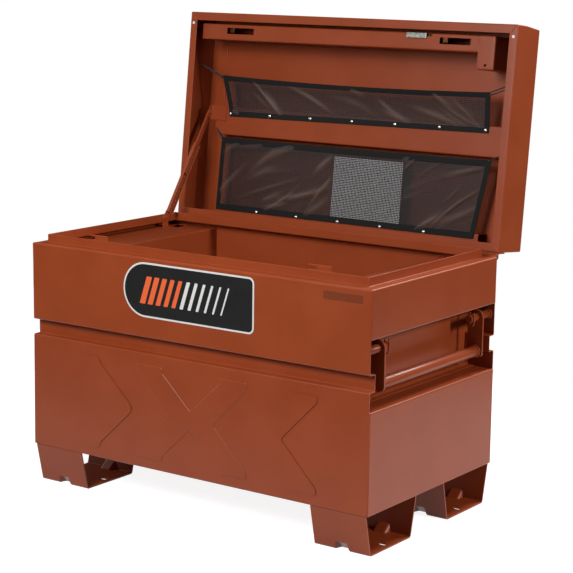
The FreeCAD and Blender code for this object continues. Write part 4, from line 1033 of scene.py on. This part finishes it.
for name, side in (("left", -1), ("right", 1)):
    x = side * PIVOT_X
    pivot, grip_line = (x, PIVOT_Z), (x, GRIP_Z)
    pins, clips, arms, fillets = [], [], [], []
    for end in (-1, 1):
        wall_y = end * (HALF_DEPTH - GAUGE)
        tip_y = wall_y - end * PIN_LENGTH
        nose = ((0, PIN_RADIUS - 1.6), (0.5, PIN_RADIUS - 0.6), (1.6, PIN_RADIUS), (PIN_LENGTH, PIN_RADIUS))
        pins.append(turned([(tip_y + end * run, radius) for run, radius in nose], pivot, depthwise, 32))
        bead = ((0, PIN_RADIUS + 3.4), (1.2, PIN_RADIUS + 3), (3.2, PIN_RADIUS - 0.3))
        pins.append(turned([(wall_y - end * run, radius) for run, radius in bead], pivot, depthwise, 32))
        leg = np.linspace(0, 1, 9)
        loop = np.linspace(-0.4 * np.pi, 1.25 * np.pi, 16)[3:]
        clip_x = np.concatenate([0 * leg, side * COTTER_BEND * (1 - np.cos(loop)), side * (11.5 + 0 * leg)])
        rise = COTTER_TOP - COTTER_FOOT
        clip_z = [COTTER_TOP - rise * leg, COTTER_FOOT - COTTER_BEND * np.sin(loop), -9 + 24 * leg]
        clip_z = np.concatenate(clip_z)
        clip_y = tip_y + end * COTTER_EDGE + 0 * clip_x
        clips.append(wire("clip", np.stack([x + clip_x * 0.9, clip_y, PIVOT_Z + clip_z], 1), COTTER_WIRE))
        half = ARM_WIDTH / 2
        arm_y = (end * HANDLE_SPREAD, end * (HANDLE_SPREAD + ARM_GAUGE))
        arm_z = (GRIP_Z - GRIP_RADIUS, PIVOT_Z + half)
        outline = rectangle((x - half, x + half), arm_z, (9, 9, half - 0.2, half - 0.2), 10)
        arms.append(bar("arm", outline, arm_y, depthwise))
        bead = ((0, GRIP_RADIUS + 3.2), (1.4, GRIP_RADIUS + 2.4), (3.4, GRIP_RADIUS - 0.3))
        bead = [(end * (HANDLE_SPREAD - run), radius) for run, radius in bead]
        fillets.append(turned(bead, grip_line, depthwise, 32))
    grip = turned([(-HANDLE_SPREAD, GRIP_RADIUS), (HANDLE_SPREAD, GRIP_RADIUS)], grip_line, depthwise, 32)
    coat(join(*pins), "cabinet", f"{name}_handle_pins", edge=0, name=f"{name}_pivot_pins")
    coat(join(*clips), "cabinet", f"{name}_handle_cotters", edge=0, name=f"{name}_hairpins")
    coat(join(*arms), f"{name}_handle", f"{name}_handle_arms", edge=0.7, name=f"{name}_arm_plates")
    coat(join(grip, *fillets), f"{name}_handle", f"{name}_handle_grip", edge=0, name=f"{name}_pipe_grip")


# ---------------------------------------------------------------- nets
# Two pockets of black knitted mesh with a bound hem all round. A row of blind rivets holds each one's
# lower hem to a channel, and elastic cords pull the upper corners sideways.

HEM_GAUGE = 1.5
NET_LAYER = CHANNEL_FACE - 1.3
UPPER_NET = {
    "b": (256.0, 352.0), "left": (9 - NET_HALF, -11 - NET_HALF), "right": (NET_HALF + 5, NET_HALF + 9),
    "hem": (13.0, 13.0), "lift": 14.0, "tilt": 4.0, "droop": 7.0, "rest": channel_end,
    "sag": 3.0, "fold": 3.0, "folds": 16, "slant": (-45, -15),
}
LOWER_NET = {
    "b": (20.0, 200.0), "left": (-14 - NET_HALF, -10 - NET_HALF), "right": (NET_HALF - 12, NET_HALF + 19),
    "hem": (12.0, 15.0), "lift": 0.0, "tilt": 0.0, "droop": 1.5, "rest": LOWER_WIDTH,
    "sag": 0.0, "fold": 5.0, "folds": 36, "slant": (12, 50),
}
CARD_SIDES, CARD_RISE = (-39.0, 155.0), (LOWER_WIDTH + 0.3, LOWER_WIDTH + 144.3)

# Knitted polyester mesh: near-black yarn, seen through between the yarns. The real mesh has its holes
# about 2 mm apart, which is too fine to show at this size, so they are drawn 4 mm apart.
YARN_PITCH = 4.0
net_cloth, tree = new_material("black_knitted_mesh")
weave = add(tree, "UVMap", uv_map="cloth").outputs["UV"]
yarn = add(tree, "TexVoronoi", {"Vector": weave, "Scale": 1000 / YARN_PITCH, "Randomness": 0.15})
fold_highlight = add(tree, "Attribute", attribute_name="fold_and_painted_highlight")
open_area = add(tree, "MapRange", {
    "Value": yarn.outputs["Distance"], "From Min": 0.25, "From Max": 0.43, "To Min": 0.1, "To Max": 1.0,
})
# The ramp paints the yarn lighter, up to a pale brown, where the fold height is large. This is a painted
# highlight on the fold ridges, not a colour of the yarn.
black = add(tree, "ValToRGB", {"Fac": fold_highlight.outputs["Fac"]}, ((0.05, "#1e1b1a"), (0.95, "#655850")))
yarn_shader = add(tree, "BsdfPrincipled", {
    "Base Color": black.outputs["Color"], "Roughness": 0.65, "Sheen Weight": 0.12, "Sheen Roughness": 0.4,
    "Alpha": open_area.outputs["Result"],
})
add(tree, "OutputMaterial", {"Surface": yarn_shader.outputs[0]})

# Woven binding tape: black, matt, with a fine rib across it.
binding = surface(
    "black_binding_tape", "#0f0e0e", 0.8, relief=(1.2, 2.0, 0.4, 0.1),
    Specular_IOR_Level=0.3, Sheen_Weight=0.04,
)

random = np.random.default_rng(7)


def folds(x, b, count, slants):
    """Drawn folds: the sum of `count` long ridges, each a bell across its line and fading along it.

    Each one leans from the net's lower edge by an angle in degrees between the two slants.
    """
    total = np.zeros(np.broadcast(x, b).shape)
    for _ in range(count):
        from_x = x - random.uniform(x.min(), x.max())
        from_b = b - random.uniform(b.min(), b.max())
        slant = math.radians(random.uniform(*slants))
        width, reach = random.uniform(3, 9), random.uniform(25, 85)
        along = from_x * math.cos(slant) + from_b * math.sin(slant)
        bow = random.uniform(-0.002, 0.002) * along ** 2
        across = from_b * math.cos(slant) - from_x * math.sin(slant) + bow
        total += random.uniform(0.2, 1) * np.exp(-(across / width) ** 2 - (along / reach) ** 2)
    return np.minimum(total, 1.2) / 1.2


def net_surface(size):
    """Net in its lid, u in -1..1 across and v in 0..1 up: rows of points, flat places, fold heights that also
    paint a highlight on the yarn, place(u, v).

    Each edge runs straight between its corners. Beyond the channel the cloth bellies back as a sine,
    its upper edge droops as a parabola, and a pocket's mouth stands out by `lift`. Folds stand out
    towards the open side; they fade out at the hems, and where the card presses the lower net flat.
    """
    b0, b1 = size["b"]

    def place(u, v):
        west, east = (side[0] + (side[1] - side[0]) * v for side in (size["left"], size["right"]))
        b = b0 + (b1 - b0) * v - size["droop"] * (1 - u ** 2) * v ** 2 + size["tilt"] * u * (1 - v)
        clear = np.clip((b - size["rest"]) / (b1 - size["rest"]), 0, 1)
        depth = NET_LAYER - size["lift"] * clear + size["sag"] * np.sin(np.pi * clear) * (1 - u ** 8)
        return (west + east) / 2 + (east - west) / 2 * u, b, depth

    u = np.linspace(-1, 1, 361)[None, :]
    v = np.linspace(0, 1, 81)[:, None]
    x, b, d = place(u, v)
    fold_and_painted_highlight = folds(x, b, size["folds"], size["slant"])
    fold_and_painted_highlight = fold_and_painted_highlight * np.minimum(1, np.minimum(v, 1 - v) * 7) * np.minimum(1, (1 - abs(u)) * 18)
    if size is LOWER_NET:
        beside = abs(x - sum(CARD_SIDES) / 2) - (CARD_SIDES[1] - CARD_SIDES[0]) / 2
        outside = np.maximum(beside, b - CARD_RISE[1])
        fold_and_painted_highlight = fold_and_painted_highlight * np.clip(outside / 12 + 0.15, 0.08, 1)
    d = d - fold_and_painted_highlight * size["fold"]
    d = np.where(b < size["rest"] + 2, np.minimum(d, NET_LAYER), d)
    rows = np.stack(in_lid(x, b, d), -1)
    return rows, (np.broadcast_to(x, d.shape), np.broadcast_to(b, d.shape)), fold_and_painted_highlight, place


def hem(name, size, place):
    """Binding round the net's edge: a flat rounded tape swept round its outline, mitred at the corners."""
    b0, b1 = size["b"]
    half_u = size["hem"][0] / NET_HALF
    half_v = size["hem"][1] / (b1 - b0)
    steps = np.linspace(-1, 1, 60)
    up_steps = np.linspace(0, 1, 20)
    edge_u = np.concatenate([steps, 0 * up_steps[1:] + 1, steps[::-1][1:], 0 * up_steps[1:-1] - 1])
    edge_v = np.concatenate([0 * steps, up_steps[1:], 0 * steps[1:] + 1, up_steps[::-1][1:-1]])
    tape_section = [
        (0.0, -0.5), (0.0, 0.5), (0.06, 1.0), (0.94, 1.0), (1.0, 0.6), (1.0, -0.6), (0.94, -1.0), (0.06, -1.0)
    ]
    columns = []
    for inward, lift in tape_section:
        u = np.clip(edge_u, -1 + half_u * inward, 1 - half_u * inward)
        v = np.clip(edge_v, half_v * inward, 1 - half_v * inward)
        x, b, d = place(u, v)
        columns.append(np.stack(in_lid(x, b, d - lift * HEM_GAUGE / 2), -1))
    columns = np.array(columns + columns[:1])
    rings = np.swapaxes(columns[:-1], 0, 1)
    rings = np.concatenate([rings, rings[:1]])
    return loft(name, rings, capped=False)


for name, size in (("upper", UPPER_NET), ("lower", LOWER_NET)):
    rows, flat, fold_and_painted_highlight, place_net = net_surface(size)
    net = sheet_grid(f"{name}_mesh_net", rows)
    layer = net.data.uv_layers.new(name="cloth")
    loop_vertex = np.zeros(len(net.data.loops), np.int32)
    net.data.loops.foreach_get("vertex_index", loop_vertex)
    cloth = np.stack([flat[0].ravel(), flat[1].ravel()], 1)[loop_vertex] * MM
    layer.data.foreach_set("uv", cloth.astype(np.float32).ravel())
    # The fold heights go to the material, which paints them onto the yarn as a highlight.
    tone = net.data.attributes.new("fold_and_painted_highlight", "FLOAT", "POINT")
    tone.data.foreach_set("value", fold_and_painted_highlight.astype(np.float32).ravel())
    net.data.materials.append(net_cloth)
    net.data.shade_smooth()
    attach(net, "lid")
    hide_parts(f"{name}_net")
    border = hem(f"{name}_net_hem", size, place_net)
    finish(border, binding, "lid", "mesh_fabric", edge=0)
    width, length = 2 * NET_HALF * MM, (size["b"][1] - size["b"][0]) * MM

# Aluminium rivets: bright domed heads.
aluminium = surface("bright_aluminium", "#ecebe8", (0.2, 0.4), grain=(1.5, 3.0), Metallic=1.0)

RIVET_RADIUS, RIVET_HEIGHT = 4.0, 2.2
RIVET_PITCH = (NET_HALF - 7.0) / 3


def dome(x, b, d, radius, height):
    """Domed head on a surface of the lid: circles that shrink as the cosine while they rise as the sine."""
    rise = np.linspace(0, 0.5 * np.pi * 0.97, 6)
    return turned(zip(d - height * np.sin(rise), radius * np.cos(rise)), (x, b), through_lid)


head_foot = NET_LAYER - HEM_GAUGE / 2 - 0.2
for name, b, tilt, count, shift in (
    ("upper", UPPER_NET["b"][0] + 7.0, UPPER_NET["tilt"], 7, 4.5),
    ("lower", LOWER_NET["b"][0] + 3.5, 0.0, 5, -15.0),
):
    heads = [
        dome(RIVET_PITCH * n + shift, b + tilt * n / 3, head_foot, RIVET_RADIUS, RIVET_HEIGHT)
        for n in np.arange(count) - (count - 1) / 2
    ]
    part, slot, cad = f"{name}_rivet_heads", "rivet_aluminium", f"{name}_net_rivets"
    finish(join(*heads), aluminium, "lid", slot, cad, edge=0, name=part)

# Braided elastic: matt black with a fine braid.
elastic, tree = new_material("black_braided_elastic")
place = add(tree, "TexCoord").outputs["Object"]
braid = add(tree, "TexWave", {"Vector": place, "Scale": 1000 / 3.0, "Distortion": 2.0})
braid_relief = add(tree, "Bump", {"Height": braid.outputs["Fac"], "Strength": 0.5, "Distance": 0.2 * MM})
cord_shader = add(tree, "BsdfPrincipled", {
    "Base Color": linear("#141414"), "Roughness": 0.75, "Sheen Weight": 0.2,
    "Normal": braid_relief.outputs["Normal"],
})
add(tree, "OutputMaterial", {"Surface": cord_shader.outputs[0]})

CORD_RADIUS, CORD_RISE = 1.5, 26.0
upper_b, upper_d = UPPER_NET["b"][1], NET_LAYER - UPPER_NET["lift"]
lower_b = LOWER_NET["b"][1]
cord_hook = (lower_b + CORD_RISE, NET_LAYER + 3)
cords = []
share = np.linspace(0, 1, 12)
for side, thick, start, end in (
    (-1, 3.0, (NET_HALF + 8, upper_b - 6, upper_d), (LID_INSIDE - 2.0, upper_b + CORD_RISE, upper_d)),
    (1, 1.5, (NET_HALF + 8, upper_b - 1, upper_d), (LID_INSIDE - 0.5, upper_b + CORD_RISE + 4, upper_d)),
    (1, 1.5, (NET_HALF + 8, upper_b - 7, upper_d), (LID_INSIDE - 0.5, upper_b + CORD_RISE - 5, upper_d)),
    (-1, 1.5, (NET_HALF + 4, lower_b - 2, NET_LAYER), (CHANNEL_LEFT + 1, *cord_hook)),
    (-1, 1.5, (NET_HALF + 6, lower_b - 9, NET_LAYER), (CHANNEL_LEFT + 1, *cord_hook)),
    (1, 1.5, (NET_HALF + 12, lower_b - 2, NET_LAYER), (CHANNEL_RIGHT - 1, *cord_hook)),
):
    x, b, d = (first + (last - first) * share for first, last in zip(start, end))
    radius = thick + (CORD_RADIUS - thick) * share
    cords.append(wire("cord", np.stack(in_lid(side * x, b, d), -1), radius))
finish(join(*cords), elastic, "lid", "elastic", "net_cords", edge=0, name="elastic_cords")


# ---------------------------------------------------------------- card, bumpers and plaque
# A blank printed card stands in the lower pocket, two soft bumpers sit on the rim flange, and a rounded
# plaque of printed film is stuck on the front. All of it is left without words or marks of a maker.

paper = surface("printed_paper_card", ((0.3, "#dedcdc"), (0.7, "#f2f1f1")), 0.5, grain=(4.0, 3.0))
card_outline = rectangle(CARD_SIDES, CARD_RISE, 3)
card = bar("pocket_card", card_outline, [CHANNEL_FACE, CHANNEL_FACE + 0.5], through_lid)
finish(card, paper, "lid", "card", "blank_card", edge=0.1)

soft_plastic = surface("pale_soft_plastic", "#efece8", 0.45, relief=(0.8, 2.0, 0.2, 0.05))
bumpers = [
    dome(side * (LID_HALF - RIM_FLANGE / 2), LID_DEPTH - RIM_FLANGE - 7, 0.2, 3.5, 1.5) for side in (-1, 1)
]
finish(join(*bumpers), soft_plastic, "lid", "bumper_plastic", "lid_bumpers", edge=0, name="rim_bumpers")

PLAQUE_CORNER, PLAQUE_BORDER = 14.0, 4.0
low, high = corners("front_plaque")
plaque_low, plaque_high = low[[0, 2]], high[[0, 2]]
plaque_half = (plaque_high[1] - plaque_low[1]) / 2


def film(name, code, roughness):
    """Printed film: a smooth skin of one colour with a faint ripple from its adhesive."""
    shine = (roughness - 0.04, roughness + 0.06)
    return surface(name, code, shine, grain=(25.0, 1.0), relief=(25.0, 1.0, 0.1, 0.1))


def on_wall(name, outline, rise, sunk=0.05):
    """Bar on the front wall: an outline in X and Z, sunk behind the face and standing proud by the rise."""
    return bar(name, outline, [-HALF_DEPTH + sunk, -HALF_DEPTH - rise], depthwise)


def plaque_layer(name, inset, rise):
    """One layer of the plaque: its outline, drawn in by the inset, standing proud by the rise."""
    x, z = ((low + inset, high - inset) for low, high in zip(plaque_low, plaque_high))
    round_end, corner = plaque_half - inset - 0.1, PLAQUE_CORNER - inset
    return on_wall(name, rectangle(x, z, (round_end, corner, corner, round_end), 16), rise)


border_layer = plaque_layer("plaque_border", 0.0, 0.5)
finish(border_layer, film("white_film", "#dcdcda", 0.35), "cabinet", "plaque_film", "front_plaque", edge=0.15)
face_layer = plaque_layer("plaque_face", PLAQUE_BORDER, 0.65)
finish(face_layer, film("black_film", "#1c1c1c", 0.35), "cabinet", "plaque_film", edge=0.1)
# The motif is a run of slanting stripes that get thinner to the right, the first ones orange.
stripe_film = {"orange": film("orange_film", "#e8683a", 0.35), "pale": film("pale_film", "#dcdcda", 0.35)}
STRIPE_COUNT, ORANGE_COUNT, STRIPE_LEAN = 11, 5, 20.0
stripe_z = (plaque_low[1] + 30, plaque_high[1] - 30)
stripes = {"orange": [], "pale": []}
for number in range(STRIPE_COUNT):
    x, width = plaque_low[0] + 46 + 22 * number, 15 - 1.1 * number
    outline = rounded([
        (x, stripe_z[0], 1.5), (x + width, stripe_z[0], 1.5),
        (x + width + STRIPE_LEAN, stripe_z[1], 1.5), (x + STRIPE_LEAN, stripe_z[1], 1.5),
    ])
    stripes["orange" if number < ORANGE_COUNT else "pale"].append(on_wall("stripe", outline, 0.78, 0.0))
for colour, row in stripes.items():
    name = f"{colour}_plaque_stripes"
    finish(join(*row), stripe_film[colour], "cabinet", "plaque_film", edge=0.05, name=name)

# A small clear label, left blank, near the wall's right upper corner.
LABEL_SIDES, LABEL_RISE = (340.0, 435.0), (TOP - 31.0, TOP - 14.0)
label = on_wall("blank_label", rectangle(LABEL_SIDES, LABEL_RISE, 1.5), 0.2)
finish(label, film("clear_film", "#7a3a22", 0.25), "cabinet", "plaque_film", edge=0.05)
